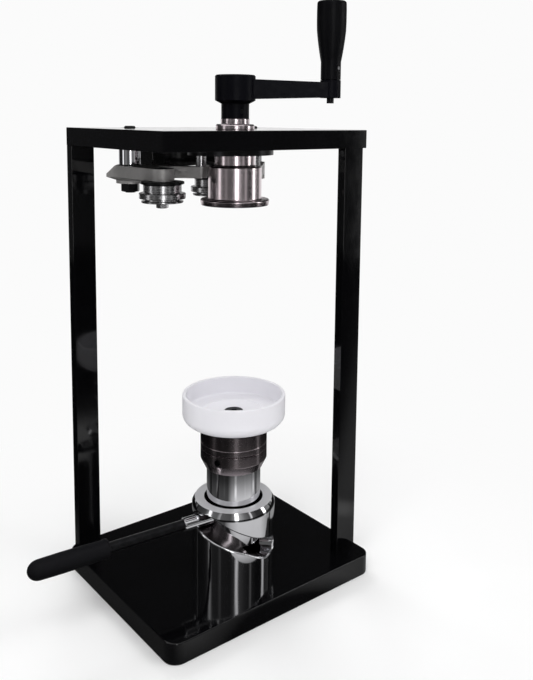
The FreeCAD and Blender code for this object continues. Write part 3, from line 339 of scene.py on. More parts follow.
def chrome():
    """Bright chrome plate over turned steel: mirror finish with faint rings and smudges."""
    plate = Surface("polished_chrome_plate", "chrome", {"Metallic": 1.0})
    plate.tint(plate.grain(11.0, 4.0), 0.9, 1.0)
    plate.shine(plate.grain(7.0, 5.0), 0.04, 0.08)
    # Rings are drawn 0.7 mm apart, coarser than the real ones, so that they show
    plate.relief(plate.rings(0.7), 0.004, 0.25)
    return plate


def satin_chrome(name="satin_chrome_plate", tone=1.0):
    """Chrome plate over a finely turned skin: soft bands in place of a mirror."""
    plate = Surface(name, "satin_chrome", {"Metallic": 1.0}, tone)
    # Rings are drawn 0.4 mm apart, coarser than the real ones, so that they show
    rings = plate.rings(0.4)
    plate.tint(plate.grain(9.0, 4.0), 0.88, 1.0)
    plate.shine(rings, 0.17, 0.27)
    plate.relief(rings, 0.004, 0.3)
    return plate


def bright_satin():
    """The same plate with a lighter base colour."""
    return satin_chrome("bright_satin_plate", 1.7)


def milled_chrome():
    """The same plate, much darker, on the slot's walls: painted shade for the shadow inside the
    slot.
    """
    return satin_chrome("milled_chrome_plate", 0.35)


def faced_chrome():
    """Chrome plate over a faced end: fine rings scatter it to a pale silver grey."""
    plate = Surface("faced_chrome_plate", "chrome", {"Metallic": 0.45})
    rings = plate.rings(0.5, faced=True)
    plate.tint(rings, 0.85, 1.0)
    plate.shine(rings, 0.42, 0.55)
    plate.relief(rings, 0.006, 0.5)
    return plate


def tool_steel():
    """Hardened and ground tool steel: grey, with a directional soft shine."""
    steel = Surface("ground_tool_steel", "tool_steel", {"Metallic": 1.0})
    rings = steel.rings(0.5)
    steel.tint(steel.grain(6.0, 4.0), 0.72, 1.0)
    steel.shine(rings, 0.16, 0.32)
    steel.relief(rings, 0.006, 0.35)
    return steel


def casting():
    """Bead-blasted steel casting: even matt grey with a fine pitted skin."""
    steel = Surface("bead_blasted_casting", "casting", {"Metallic": 0.6})
    steel.tint(steel.grain(8.0, 5.0), 0.7, 1.0)
    steel.shine(steel.grain(3.0, 4.0), 0.42, 0.58)
    steel.relief(steel.grain(0.6, 2.0), 0.02, 0.5)
    return steel


def black_oxide():
    """Black oxide on steel, oiled: near black, rubbed a little lighter in places."""
    steel = Surface("black_oxide_steel", "black_oxide", {"Metallic": 0.7})
    rubbed = add_node(steel.tree, "ShaderNodeMapRange", {
        "Value": steel.grain(4.0, 5.0), "From Min": 0.45, "From Max": 0.75})
    steel.tint(rubbed.outputs["Result"], 1.0, 3.0)
    steel.shine(steel.grain(2.0, 3.0), 0.28, 0.45)
    steel.relief(steel.grain(0.5, 2.0), 0.01, 0.3)
    return steel


def bronze():
    """Sintered bronze: dull gold with dark oil-filled pores."""
    metal = Surface("sintered_bronze", "bronze", {"Metallic": 1.0})
    pores = metal.grain(0.4, 3.0)
    metal.tint(pores, 0.5, 1.0)
    metal.shine(pores, 0.55, 0.35)
    metal.relief(pores, 0.01, 0.4)
    return metal


def nylon():
    """Turned white nylon: waxy, slightly see-through at thin edges, faint tool rings."""
    plastic = Surface("turned_white_nylon", "nylon", {
        "IOR": 1.53, "Subsurface Weight": 0.25, "Subsurface Radius": (0.004, 0.004, 0.004)})
    plastic.tint(plastic.grain(15.0, 4.0), 0.95, 1.0)
    rings = plastic.rings(0.6)
    plastic.shine(rings, 0.34, 0.48)
    plastic.relief(rings, 0.008, 0.4)
    return plastic


def moulded_nylon():
    """Glass-filled black nylon, injection moulded: low sheen with a fine spark texture."""
    plastic = Surface("moulded_black_nylon", "moulded_nylon", {
        "IOR": 1.53, "Specular IOR Level": 0.07})
    plastic.tint(plastic.grain(10.0, 4.0), 1.0, 1.5)
    plastic.shine(plastic.grain(5.0, 4.0), 0.36, 0.46)
    # Spark texture is about 0.3 mm and is drawn at 0.8 mm so that it shows
    plastic.relief(plastic.grain(0.8, 2.0), 0.012, 0.4)
    return plastic


def soft_grip():
    """Dip-moulded vinyl sleeve: matt, soft, with slow waves where it ran and set."""
    vinyl = Surface("dipped_vinyl_grip", "soft_grip", {"IOR": 1.52, "Specular IOR Level": 0.12})
    vinyl.tint(vinyl.grain(9.0, 4.0), 1.0, 1.4)
    vinyl.shine(vinyl.grain(3.0, 4.0), 0.5, 0.66)
    vinyl.relief(vinyl.grain(12.0, 1.0), 0.4, 0.25)
    vinyl.relief(vinyl.grain(0.7, 2.0), 0.02, 0.5)
    return vinyl


FINISHES = {
    "satin_chrome": satin_chrome, "bright_satin": bright_satin, "faced_chrome": faced_chrome,
    "milled_chrome": milled_chrome, "gloss_black_paint": powder_coat, "satin_black_paint": enamel,
    "chrome_plate": chrome,
    "ground_steel": tool_steel, "grey_casting": casting, "blackened_steel": black_oxide,
    "bearing_bronze": bronze, "white_nylon": nylon, "black_grip": moulded_nylon,
    "dark_rubber": soft_grip,
}
made = {}


def finish(look):
    """The material of a slot or a look, made the first time it is asked for."""
    if look not in made:
        made[look] = FINISHES[look]().material
    return made[look]


SLOTS = {part["node"]: part["material_slot"] for part in frame["record"]["subparts"]}


def body_of_node(node):
    """The body that the record gives the node."""
    return next(body for body, members in frame["record"]["behaviour"]["bodies"].items()
                if node in members)


def dress(*nodes):
    """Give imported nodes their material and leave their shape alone."""
    for node in nodes:
        piece = frame["nodes"][node]
        piece.data.materials.clear()
        piece.data.materials.append(finish(SLOTS[node]))


# Pieces

def linked(bm, name):
    """A new object of the scene in the shape of the bmesh."""
    mesh = bpy.data.meshes.new(name)
    bm.to_mesh(mesh)
    bm.free()
    piece = bpy.data.objects.new(name, mesh)
    bpy.context.scene.collection.objects.link(piece)
    return piece


def piece_from(bm, name, node, slot=None, hides=True, smooth=35.0, look=None):
    """Turn a bmesh into a piece that rides on the node's body and stands for it."""
    piece = linked(bm, name)
    piece.data.shade_smooth()
    piece.data.set_sharp_from_angle(angle=radians(smooth))
    even = piece.modifiers.new("even_shading", "WEIGHTED_NORMAL")
    even.keep_sharp = True
    slot = slot or SLOTS[node]
    piece.data.materials.append(finish(look or slot))
    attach(piece, body_of_node(node))
    if hides:
        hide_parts(node)
    return piece


def soften(bm, width, segments, angle):
    """Bevel every edge that is sharper than the given angle."""
    edges = [edge for edge in bm.edges if len(edge.link_faces) == 2
             and edge.calc_face_angle(0.0) > radians(angle)]
    if edges and width > 0:
        bmesh.ops.bevel(bm, geom=edges, offset=width, offset_type="OFFSET", segments=segments,
                        profile=0.5, affect="EDGES", clamp_overlap=True, material=-1)


def close(bm, gap=0.001):
    """Join doubled corners, and turn every face outwards."""
    bmesh.ops.remove_doubles(bm, verts=bm.verts, dist=gap * MM)
    bmesh.ops.recalc_face_normals(bm, faces=bm.faces)


def only(kind, items):
    return [item for item in items if isinstance(item, kind)]


def merged_copy(node):
    """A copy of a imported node's mesh with its loose triangles joined."""
    bm = bmesh.new()
    bm.from_mesh(frame["nodes"][node].data)
    bmesh.ops.remove_doubles(bm, verts=bm.verts, dist=0.004 * MM)
    bmesh.ops.dissolve_limit(bm, angle_limit=radians(1.0), verts=bm.verts, edges=bm.edges,
                             delimit={"NORMAL"})
    return bm


def turned(profile, steps=None, edge=None, angle=22.0):
    """Spin a closed profile of radius and height in millimetres about the Z axis."""
    bm = bmesh.new()
    corners = [bm.verts.new((radius * MM, 0.0, height * MM)) for radius, height in profile]
    for first, second in zip(corners, corners[1:] + corners[:1]):
        bm.edges.new((first, second))
    bmesh.ops.spin(bm, geom=bm.verts[:] + bm.edges[:], cent=(0, 0, 0), axis=(0, 0, 1),
                   dvec=(0, 0, 0), angle=tau, steps=steps or sizes().round_steps, use_merge=True)
    close(bm)
    soften(bm, sizes().turned_edge if edge is None else edge * MM, 2, angle)
    return bm


def stand(bm, x=0.0, y=0.0, level=0.0, turn=0.0):
    """Turn a piece about Z and set it at a place in millimetres."""
    bmesh.ops.rotate(bm, verts=bm.verts, cent=(0, 0, 0),
                     matrix=Matrix.Rotation(radians(turn), 3, "Z"))
    bmesh.ops.translate(bm, verts=bm.verts, vec=Vector((x, y, level)) * MM)
    return bm


def turned_piece(name, node, profile, x=0.0, y=0.0, level=None, steps=None, edge=None,
                 angle=22.0, **looks):
    """A turned piece, standing where its node does unless a level is given."""
    bm = turned(profile, steps, edge, angle)
    stand(bm, x, y, low(node) if level is None else level)
    return piece_from(bm, name, node, **looks)


def lay_down(bm):
    """Lay a piece that was spun about Z along the lever's line."""
    bmesh.ops.rotate(bm, verts=bm.verts, cent=(0, 0, 0), matrix=Matrix.Rotation(pi / 2, 3, "Y"))
    return stand(bm, turn=LEVER_TURN, level=STUB_LEVEL)


def curve_points(start, end, bulge, count):
    """Points from one profile corner to another along a shallow bow."""
    points = []
    for step in range(1, count):
        share = step / count
        bow = 4.0 * bulge * share * (1.0 - share)
        points.append((start[0] + (end[0] - start[0]) * share + bow,
                       start[1] + (end[1] - start[1]) * share))
    return points


def arc(centre, radius, start, end, count):
    """Profile points on an arc, with angles in degrees from the outward direction."""
    points = []
    for step in range(count + 1):
        angle = radians(start + (end - start) * step / count)
        points.append((centre[0] + radius * cos(angle), centre[1] + radius * sin(angle)))
    return points


def grown(bm, ring, place):
    """Extrude a ring of vertices and set each new one where place puts it."""
    geometry = bmesh.ops.extrude_edge_only(bm, edges=[
        edge for edge in bm.edges if all(vert in ring for vert in edge.verts)])["geom"]
    loop = only(bmesh.types.BMVert, geometry)
    for vert in loop:
        vert.co = place(vert.co)
    return loop


def hex_block(flats, height, bore):
    """A hexagonal nut with cut corners and a bore, standing on its lower face."""
    bm = bmesh.new()
    ring = bmesh.ops.create_circle(bm, cap_ends=False, segments=72, radius=1.0)["verts"]
    apothem = flats / 2
    for vert in ring:
        angle = atan2(vert.co.y, vert.co.x)
        folded = (angle + pi / 6) % (pi / 3) - pi / 6
        reach = apothem / cos(folded)
        vert.co = Vector((cos(angle) * reach, sin(angle) * reach,
                          (reach - apothem) * NUT_CHAMFER)) * MM

    def at(radius, level):
        return lambda spot: (*(spot.xy.normalized() * radius * MM), level * MM)

    upper = grown(bm, ring, lambda spot: (spot.x, spot.y, height * MM - spot.z))
    crown = grown(bm, upper, at(apothem - NUT_CROWN, height))
    hole = grown(bm, crown, at(bore, height))
    grown(bm, hole, at(bore, 0.0))
    grown(bm, ring, at(apothem - NUT_CROWN, 0.0))
    bmesh.ops.bridge_loops(bm, edges=[edge for edge in bm.edges if len(edge.link_faces) == 1])
    close(bm)
    return bm


class SEAMER_OT_frame(bpy.types.Operator):
    """Plates, posts and backing bar in gloss powder coat, with the screws and bearings"""
    bl_idname = "seamer.frame"
    bl_label = "Frame"

    def execute(self, context):
        dress("base_plate", "top_plate", "left_post", "right_post", "post_screws",
              "sleeve_screws", "bar_screws", "spindle_bearings", "spindle_shaft")
        bar = merged_copy("backing_bar")
        under = low("backing_bar") * MM
        for vert in bar.verts:
            if vert.co.z < under + BAR_LIP * MM:
                vert.co.z -= BAR_DROP * MM
        piece_from(bar, "backing_bar_body", "backing_bar")
        return {"FINISHED"}


class SEAMER_OT_crank(bpy.types.Operator):
    """Crank casting with rounded edges, its screw, pin, ring and flange"""
    bl_idname = "seamer.crank"
    bl_label = "Crank"

    def execute(self, context):
        bm = merged_copy("crank_arm")
        soften(bm, sizes().casting_edge, 3, 34.0)
        piece_from(bm, "crank_casting", "crank_arm", smooth=40.0)
        dress("crank_screw", "crank_pin")
        turned_piece("flange_ring", "spindle_flange", [
            (8.3, 0.0), (14.4, 0.0), (14.4, 2.9), (13.5, 3.8), (8.3, 3.8)], edge=0.25,
            look="bright_satin")
        turned_piece("collar_ring", "spindle_collar", [
            (8.0, 0.0), (10.75, 0.0), (10.75, 3.8), (8.0, 3.8)], edge=0.3, look="bright_satin")
        return {"FINISHED"}


class SEAMER_OT_crank_grip(bpy.types.Operator):
    """Revolving grip: a waisted neck, swelling barrel and crowned top"""
    bl_idname = "seamer.crank_grip"
    bl_label = "Crank grip"

    def execute(self, context):
        x, y = middle("grip_axle")
        profile = [(4.05, 0.0), (7.1, 0.0), (7.45, 0.35), (7.45, 13.0)]
        profile += curve_points((7.45, 13.0), (10.75, 36.0), 0.3, 10)
        profile += [(10.75, 36.0), (10.9, 42.0), (10.9, 50.0), (10.8, 54.2)]
        profile += arc((9.0, 55.2), 1.75, -8.0, 70.0, 5)
        profile += [(7.4, 57.25), (4.0, 57.65), (0.0, 57.8), (0.0, 51.6), (4.05, 51.6)]
        turned_piece("revolving_grip_body", "crank_grip", profile, x, y, angle=60.0,
                     smooth=45.0)
        dress("grip_axle", "grip_pin")
        return {"FINISHED"}


class SEAMER_OT_chuck(bpy.types.Operator):
    """Seaming chuck with its lip and turned body"""
    bl_idname = "seamer.chuck"
    bl_label = "Seaming chuck"

    def execute(self, context):
        turned_piece("seaming_chuck_body", "seaming_chuck", [
            (3.02, 4.5), (5.25, 4.5), (5.25, 1.2), (22.0, 1.2), (23.2, 0.0), (25.5, 0.0),
            (26.0, 3.6), (25.2, 4.5), (20.6, 4.5), (20.0, 5.1), (20.0, 28.1), (19.1, 29.0),
            (8.02, 29.0), (8.02, 7.0), (3.02, 7.0)], edge=0.3, look="bright_satin")
        dress("chuck_screw")
        return {"FINISHED"}


class SEAMER_OT_cam(bpy.types.Operator):
    """Cam, and the bright sleeve round its hub"""
    bl_idname = "seamer.cam"
    bl_label = "Cam"

    def execute(self, context):
        turned_piece("cam_hub_sleeve", "cam", [
            (8.05, 0.0), (14.7, 0.0), (15.2, 0.5), (15.2, 8.1), (8.05, 8.1)], edge=0.15,
            slot="chrome_plate", hides=False, look="bright_satin")
        dress("cam")
        return {"FINISHED"}


class SEAMER_OT_pivots(bpy.types.Operator):
    """Spacer bushes, low bolt heads and hex nuts of both arm pivots"""
    bl_idname = "seamer.pivots"
    bl_label = "Arm pivots"

    def execute(self, context):
        dress("pivot_bolts")
        for number, (x, y) in enumerate(PIVOTS, 1):
            turned_piece(f"pivot_bush_{number}", "pivot_bushes", [
                (4.02, 0.0), (8.3, 0.0), (8.8, 0.5), (8.8, 14.4), (8.3, 14.9), (4.02, 14.9)],
                x, y)
            nut = hex_block(13.0, 6.5, 4.02)
            piece_from(stand(nut, x, y, low("pivot_nuts"), 20.0), f"pivot_nut_{number}",
                       "pivot_nuts")
            turned_piece(f"pivot_bolt_head_{number}", "pivot_bolts", [
                (0.0, -0.6), (0.0, 0.2), (2.0, 0.2), (2.0, 1.5), (3.2, 1.5), (4.0, 1.1),
                (4.6, 0.0), (4.6, -0.6)], x, y, high("top_plate"), 48, 0.1, hides=False)
        return {"FINISHED"}


class SEAMER_OT_arms(bpy.types.Operator):
    """Both seaming arms with rounded edges and cut tails, and their cam studs and rollers"""
    bl_idname = "seamer.arms"
    bl_label = "Seaming arms"

    def execute(self, context):
        for name, pivot in zip(("first", "second"), PIVOTS):
            bm = merged_copy(f"{name}_arm")
            self.point_tail(bm, *pivot, high(f"{name}_arm"))
            soften(bm, sizes().arm_edge, 2, 34.0)
            piece_from(bm, f"{name}_arm_casting", f"{name}_arm", smooth=40.0)
            dress(f"{name}_cam_stud", f"{name}_cam_roller")
        return {"FINISHED"}

    @staticmethod
    def point_tail(bm, x, y, top):
        """Square the arm's tail off and cut a slope across its upper corner."""
        turn = atan2(y, x) + radians(TAIL_TURN)
        out = Vector((cos(turn), sin(turn), 0.0))
        cuts = ((TAIL_REACH, 0.0, (1.0, 0.0)), (TAIL_SLOPE_START, top, TAIL_SLOPE))
        for reach, level, (along, upwards) in cuts:
            normal = (out * along + Vector((0, 0, upwards))).normalized()
            place = (Vector((x, y, level)) + out * reach) * MM
            cut = bmesh.ops.bisect_plane(
                bm, geom=bm.verts[:] + bm.edges[:] + bm.faces[:], dist=1e-7,
                plane_co=place, plane_no=normal, clear_outer=True)["geom_cut"]
            bmesh.ops.holes_fill(bm, edges=only(bmesh.types.BMEdge, cut))
        under = top - WEB_DEPTH
        for vert in bm.verts:
            place = Vector((vert.co.x / MM - x, vert.co.y / MM - y, 0.0))
            if (abs(vert.co.z / MM - under) < 0.05 and place.dot(out) > BOSS_START
                    and place.length < BOSS_REACH):
                vert.co.z -= TAIL_DROP * MM


class SEAMER_OT_rollers(bpy.types.Operator):
    """Seaming rollers with their grooves, dust caps, lock nuts and pins"""
    bl_idname = "seamer.rollers"
    bl_label = "Seaming rollers"

    def execute(self, context):
        profile = [
            (4.05, 0.0), (9.6, 0.0), (9.6, 0.3), (10.4, 0.3), (10.4, 0.0), (15.2, 0.0),
            (15.6, 0.4), (15.6, 1.2), (13.6, 1.6), (13.6, 2.7), (17.2, 3.1), (17.2, 6.8),
            (16.8, 7.2), (13.2, 7.2), (13.2, 7.8), (14.1, 7.8), (14.1, 13.0), (13.7, 13.4),
            (10.4, 13.4), (10.4, 13.1), (9.6, 13.1), (9.6, 13.4), (4.05, 13.4)]
        for name in ("first", "second"):
            x, y = middle(f"{name}_roller")
            turned_piece(f"{name}_seaming_roller", f"{name}_roller", profile, x, y)
            # Black oxide dust cap on the roller's top; its black is also painted shade for the
            # dark top of the roller
            turned_piece(f"{name}_roller_dust_cap", f"{name}_roller", [
                (9.8, 0.0), (14.6, 0.0), (16.2, 0.5), (16.2, 1.9), (15.9, 2.2), (9.8, 2.2)],
                x, y, high(f"{name}_roller"), edge=0.1, slot="blackened_steel", hides=False)
            nut = hex_block(8.0, 4.0, 2.52)
            piece_from(stand(nut, x, y, low(f"{name}_roller_nut"), 10.0),
                       f"{name}_roller_lock_nut", f"{name}_roller_nut")
            dress(f"{name}_roller_pin")
        return {"FINISHED"}


def slot_edges(angle):
    """Lower and upper edge of the slot at a direction within it."""
    lowest, highest = [], []
    for first, first_height, last, last_height, half in SLOT_RUNS:
        inside = min(max(angle, first), last)
        share = (inside - first) / (last - first)
        centre = first_height + (last_height - first_height) * share
        beyond = radians(abs(angle - inside)) * SLEEVE_RADIUS
        if beyond <= half + 1e-9:
            reach = sqrt(max(0.0, half * half - beyond * beyond))
            lowest.append(centre - reach)
            highest.append(centre + reach)
    return min(lowest), max(highest)


def slot_chains():
    """The slot's lower and upper edge from its left tip to its right tip, both included."""
    first, first_height, last, last_height, half = SLOT_RUNS[0]
    reach = degrees(half / SLEEVE_RADIUS)
    turns = [pi / 2 * step / TIP_STEPS for step in range(1, TIP_STEPS)]
    angles = [first - reach * cos(turn) for turn in turns]
    angles += [first + (last - first) * step / RUN_STEPS for step in range(RUN_STEPS + 1)]
    angles += [last + reach * sin(turn) for turn in turns]
    edges = [(angle, *slot_edges(angle)) for angle in angles]
    return [eased([(first - reach, first_height), *((edge[0], edge[side]) for edge in edges),
                   (last + reach, last_height)]) for side in (1, 2)]


def eased(chain, passes=14, ends=9):
    """The same edge with its kinks smoothed between its round ends."""
    for _ in range(passes):
        chain = [point if not ends <= index < len(chain) - ends else
                 (point[0], (chain[index - 1][1] + 2 * point[1] + chain[index + 1][1]) / 4)
                 for index, point in enumerate(chain)]
    return chain


class SEAMER_OT_lift_sleeve(bpy.types.Operator):
    """Chrome sleeve with the bevelled helical slot"""
    bl_idname = "seamer.lift_sleeve"
    bl_label = "Lift sleeve"

    def execute(self, context):
        # The wall is cut flat, bevelled, and then rolled up; Y is the depth into the wall
        lower, upper = slot_chains()
        left = (lower[0][0] + lower[-1][0]) / 2 - 180.0
        seam_height = (lower[0][1] + lower[-1][1]) / 2
        right = left + 360.0
        bm = bmesh.new()

        def corner(angle, height):
            return bm.verts.new((radians(angle) * SLEEVE_RADIUS, 0.0, height))

        low_edge = [corner(*point) for point in lower]
        high_edge = [low_edge[0]] + [corner(*point) for point in upper[1:-1]] + [low_edge[-1]]
        seam = [corner(left, seam_height), corner(right, seam_height)]
        bm.faces.new([seam[0], corner(left, 0.0), corner(right, 0.0), seam[1]] + low_edge[::-1])
        bm.faces.new([seam[1], corner(right, SLEEVE_HEIGHT), corner(left, SLEEVE_HEIGHT),
                      seam[0]] + high_edge)
        rim = set(low_edge + high_edge)
        bmesh.ops.recalc_face_normals(bm, faces=bm.faces)
        rolled = bmesh.ops.extrude_face_region(bm, geom=bm.faces[:], use_keep_orig=True)["geom"]
        bmesh.ops.translate(bm, verts=only(bmesh.types.BMVert, rolled),
                            vec=(0.0, SLEEVE_WALL, 0.0))
        lips = [edge for edge in bm.edges if all(vert in rim for vert in edge.verts)
                and any(vert.co.y > 0.1 for face in edge.link_faces for vert in face.verts)]
        ends = [face for face in bm.faces if any(
            all(abs(vert.co.x - radians(side) * SLEEVE_RADIUS) < 1e-3 for vert in face.verts)
            for side in (left, right))]
        bmesh.ops.bevel(bm, geom=lips, offset=sizes().slot_bevel / MM, offset_type="OFFSET",
                        segments=3, profile=0.5, affect="EDGES", clamp_overlap=True, material=-1)
        bmesh.ops.delete(bm, geom=[face for face in ends if face.is_valid],
                         context="FACES_ONLY")
        cuts = [((0, 0, height), (0, 0, 1)) for height in (
            MOUTH[0], MOUTH[1], SHOULDER[0], SHOULDER[0] + SHOULDER[1] * SHOULDER_BREAK)]
        cuts += [((radians(left + 360.0 / SLEEVE_STEPS * step) * SLEEVE_RADIUS, 0, 0),
                  (1, 0, 0)) for step in range(1, SLEEVE_STEPS)]
        for place, normal in cuts:
            bmesh.ops.bisect_plane(bm, geom=bm.verts[:] + bm.edges[:] + bm.faces[:],
                                   dist=1e-4, plane_co=place, plane_no=normal)
        for vert in bm.verts:
            depth, height = vert.co.y, vert.co.z
            mouth = min(max((height - MOUTH[0]) / (MOUTH[1] - MOUTH[0]), 0.0), 1.0)
            wall = SLEEVE_WALL + (MOUTH[2] - SLEEVE_WALL) * mouth
            shoulder = max(0.0, (height - SHOULDER[0]) / SHOULDER[1]) * SHOULDER[2]
            share = depth / SLEEVE_WALL
            reach = SLEEVE_RADIUS - shoulder * (1.0 - share) - wall * share
            angle = vert.co.x / SLEEVE_RADIUS
            vert.co = Vector((cos(angle) * reach, sin(angle) * reach, height)) * MM
        close(bm, 0.01)
        # Material 1 is on the faced top; 2, black oxide in the bore, and 3, a darker copy of the
        # plate on the slot's walls, are painted shade
        bore = SLEEVE_RADIUS - SLEEVE_WALL
        for face in bm.faces:
            centre = face.calc_center_median() / MM
            reach = hypot(centre.x, centre.y)
            angle = degrees(atan2(centre.y, centre.x)) % 360.0
            if face.normal.z > 0.8 and centre.z > SHOULDER[0]:
                face.material_index = 1
            # Black oxide in the bore is painted shade for the shadow inside the sleeve
            elif reach < bore + 0.1:
                face.material_index = 2
            # The slot's walls up to that direction take the darker plate as painted shade
            elif (reach < SLEEVE_RADIUS - 2.0 and 1.0 < centre.z < SHOULDER[0]
                    and angle < SLOT_SHADE_TO):
                face.material_index = 3
        stand(bm, level=low("lift_sleeve"))
        sleeve = piece_from(bm, "lift_sleeve_body", "lift_sleeve", smooth=32.0)
        for look in ("faced_chrome", "blackened_steel", "milled_chrome"):
            sleeve.data.materials.append(finish(look))
        return {"FINISHED"}


class SEAMER_OT_lift_column(bpy.types.Operator):
    """Lift tube, locking collar with its set screw, and bearing housing"""
    bl_idname = "seamer.lift_column"
    bl_label = "Lift column"

    def execute(self, context):
        dress("lift_tube", "collar_screw", "cup_bearing")
        level, top = low("locking_collar"), high("locking_collar") - low("locking_collar")
        collar = turned([
            (21.05, -SKIRT), (22.0, -SKIRT), (22.4, 0.4 - SKIRT), (COLLAR_RADIUS, 7.4 - SKIRT),
            (COLLAR_RADIUS, SCREW_BAND[0]), (COLLAR_RADIUS, SCREW_BAND[1]),
            (COLLAR_RADIUS, top), (21.05, top)], edge=0.2)
        stand(collar, turn=SCREW_TURN)
        self.sink_screw(collar)
        body = piece_from(stand(collar, level=level), "locking_collar_body", "locking_collar",
                          smooth=30.0, look="satin_chrome")
        body.data.materials.append(finish("blackened_steel"))
        turned_piece("bearing_housing_body", "bearing_housing", [
            (21.02, 0.0), (25.0, 0.0), (25.8, 0.8), (25.8, 4.6), (25.55, 4.75), (25.55, 5.0),
            (25.8, 5.15), (25.8, 18.2), (25.0, 19.0), (17.5, 19.0), (17.5, 8.0), (12.0, 8.0),
            (12.0, 6.0), (21.02, 6.0)], look="satin_chrome")
        return {"FINISHED"}

    @staticmethod
    def sink_screw(collar):
        """Open a round hole for the set screw in the collar's upright band."""
        turn = radians(SCREW_TURN)
        out = Vector((cos(turn), sin(turn), 0.0))
        patch = []
        for face in collar.faces:
            centre = face.calc_center_median() / MM
            flat = Vector((centre.x, centre.y, 0.0))
            if (SCREW_BAND[0] < centre.z < SCREW_BAND[1] and flat.length > COLLAR_RADIUS - 0.8
                    and flat.angle(out) < radians(SCREW_SPREAD)):
                patch.append(face)
        bmesh.ops.delete(collar, geom=patch, context="FACES")
        rim = [edge for edge in collar.edges if len(edge.link_faces) == 1]
        circle = bmesh.ops.create_circle(collar, cap_ends=False, segments=24,
                                         radius=SCREW_HOLE * MM)["verts"]
        for vert in circle:
            angle = turn + vert.co.x / (COLLAR_RADIUS * MM)
            vert.co = (cos(angle) * COLLAR_RADIUS * MM, sin(angle) * COLLAR_RADIUS * MM,
                       vert.co.y + sum(SCREW_BAND) / 2 * MM)
        ring = [edge for edge in collar.edges if not edge.link_faces]
        bmesh.ops.bridge_loops(collar, edges=rim + ring)
        wall = bmesh.ops.extrude_edge_only(collar, edges=ring)["geom"]
        bmesh.ops.translate(collar, vec=out * -SCREW_DEPTH * MM,
                            verts=only(bmesh.types.BMVert, wall))
        bmesh.ops.recalc_face_normals(collar, faces=collar.faces)
        floor = bmesh.ops.contextual_create(collar, geom=[
            edge for edge in only(bmesh.types.BMEdge, wall) if len(edge.link_faces) == 1])
        for face in only(bmesh.types.BMFace, wall) + floor["faces"]:
            face.material_index = 1
        bmesh.ops.recalc_face_normals(collar, faces=collar.faces)


class SEAMER_OT_can_cup(bpy.types.Operator):
    """White nylon cup with a rounded heel, soft lip and stepped pocket"""
    bl_idname = "seamer.can_cup"
    bl_label = "Can cup"

    def execute(self, context):
        lip = sizes().cup_lip_round / MM
        profile = [(16.25, 0.0)]
        profile += arc((31.8, 8.0), 8.0, -90.0, 0.0, 10)
        profile += arc((39.8 - lip, 22.9 - lip), lip, 0.0, 90.0, 5)
        profile += arc((37.0 + lip, 22.9 - lip), lip, 90.0, 180.0, 5)
        profile += [(37.0, 10.4)]
        profile += arc((35.5, 10.4), 1.5, 0.0, -90.0, 4)
        profile += [(24.0, 8.9), (23.6, 8.5), (22.4, 8.5), (22.0, 8.9), (7.25, 8.9),
                    (7.25, 4.6), (4.25, 4.6), (4.25, 3.0), (16.25, 3.0)]
        turned_piece("can_cup_body", "can_cup", profile, edge=0.2, angle=50.0, smooth=42.0)
        dress("cup_shaft", "cup_screw")
        return {"FINISHED"}


class SEAMER_OT_lever(bpy.types.Operator):
    """Lever: grooved chrome stub, black rod and dipped grip"""
    bl_idname = "seamer.lever"
    bl_label = "Lever"

    def execute(self, context):
        groove = sizes().stub_groove / MM
        stub = turned([
            (0.0, -17.0), (5.1, -17.0), (5.1, 44.0), (4.4, 44.7), (3.98, 44.7), (3.98, 36.7),
            (0.0, 36.7)], steps=72, edge=0.1)
        for vert in stub.verts:
            reach = hypot(vert.co.x, vert.co.y) / MM
            if reach < STUB_CORE or vert.co.z / MM < GROOVE_START:
                continue
            angle = atan2(vert.co.y, vert.co.x)
            depth = groove * max(0.0, cos(angle * STUB_GROOVES))
            scale = (reach - depth) / reach
            vert.co.x *= scale
            vert.co.y *= scale
        piece_from(lay_down(stub), "lever_stub_body", "lever_stub")
        dress("lever_rod")
        profile = [(4.0, 105.0), (6.3, 105.0), (6.9, 105.4), (7.2, 106.2), (7.2, 107.6),
                   (6.75, 108.6), (6.7, 112.0)]
        profile += curve_points((6.7, 112.0), (GRIP_RADIUS, GRIP_TIP), 0.35, 8)
        for step in range(8):
            angle = pi / 2 * step / 8
            profile.append((GRIP_RADIUS * cos(angle), GRIP_TIP + GRIP_DOME * sin(angle)))
        profile += [(0.0, GRIP_TIP + GRIP_DOME), (0.0, 152.0), (4.0, 152.0)]
        grip = turned(profile, steps=64, edge=0.0)
        piece_from(lay_down(grip), "lever_grip_body", "lever_grip", smooth=45.0)
        return {"FINISHED"}


def stage_piece(bm, name, material):
    """A piece of the stage, which is not part of the object."""
    piece = linked(bm, name)
    piece.data.materials.append(material)
    return piece


def bands(tree, value, stops, scale=1.0, over=None):
    """Soft bands of tone along a value, which dim earlier tones if there are any."""
    ramp = add_node(tree, "ShaderNodeValToRGB", {"Fac": value})
    elements = ramp.color_ramp.elements
    while len(elements) < len(stops):
        elements.new(0.5)
    for element, (place, tone) in zip(elements, stops):
        element.position = place * scale
        element.color = (tone, tone, tone, 1.0)
    if over is None:
        return ramp.outputs["Color"]
    return add_node(tree, "ShaderNodeMix", {
        "Factor": 1.0, 6: over, 7: ramp.outputs["Color"]}, data_type="RGBA",
        blend_type="MULTIPLY").outputs[2]


def direction_share(tree, where):
    """Direction of a point of the stage as a share of a full turn."""
    flat = add_node(tree, "ShaderNodeSeparateXYZ", {"Vector": where})
    angle = add_node(tree, "ShaderNodeMath", {
        0: flat.outputs["Y"], 1: flat.outputs["X"]}, operation="ARCTAN2").outputs[0]
    turn = add_node(tree, "ShaderNodeMapRange", {
        "Value": angle, "From Min": -pi, "From Max": pi, "To Min": 0.5, "To Max": 1.5})
    return add_node(tree, "ShaderNodeMath", {0: turn.outputs["Result"]},
                    operation="FRACT").outputs[0]


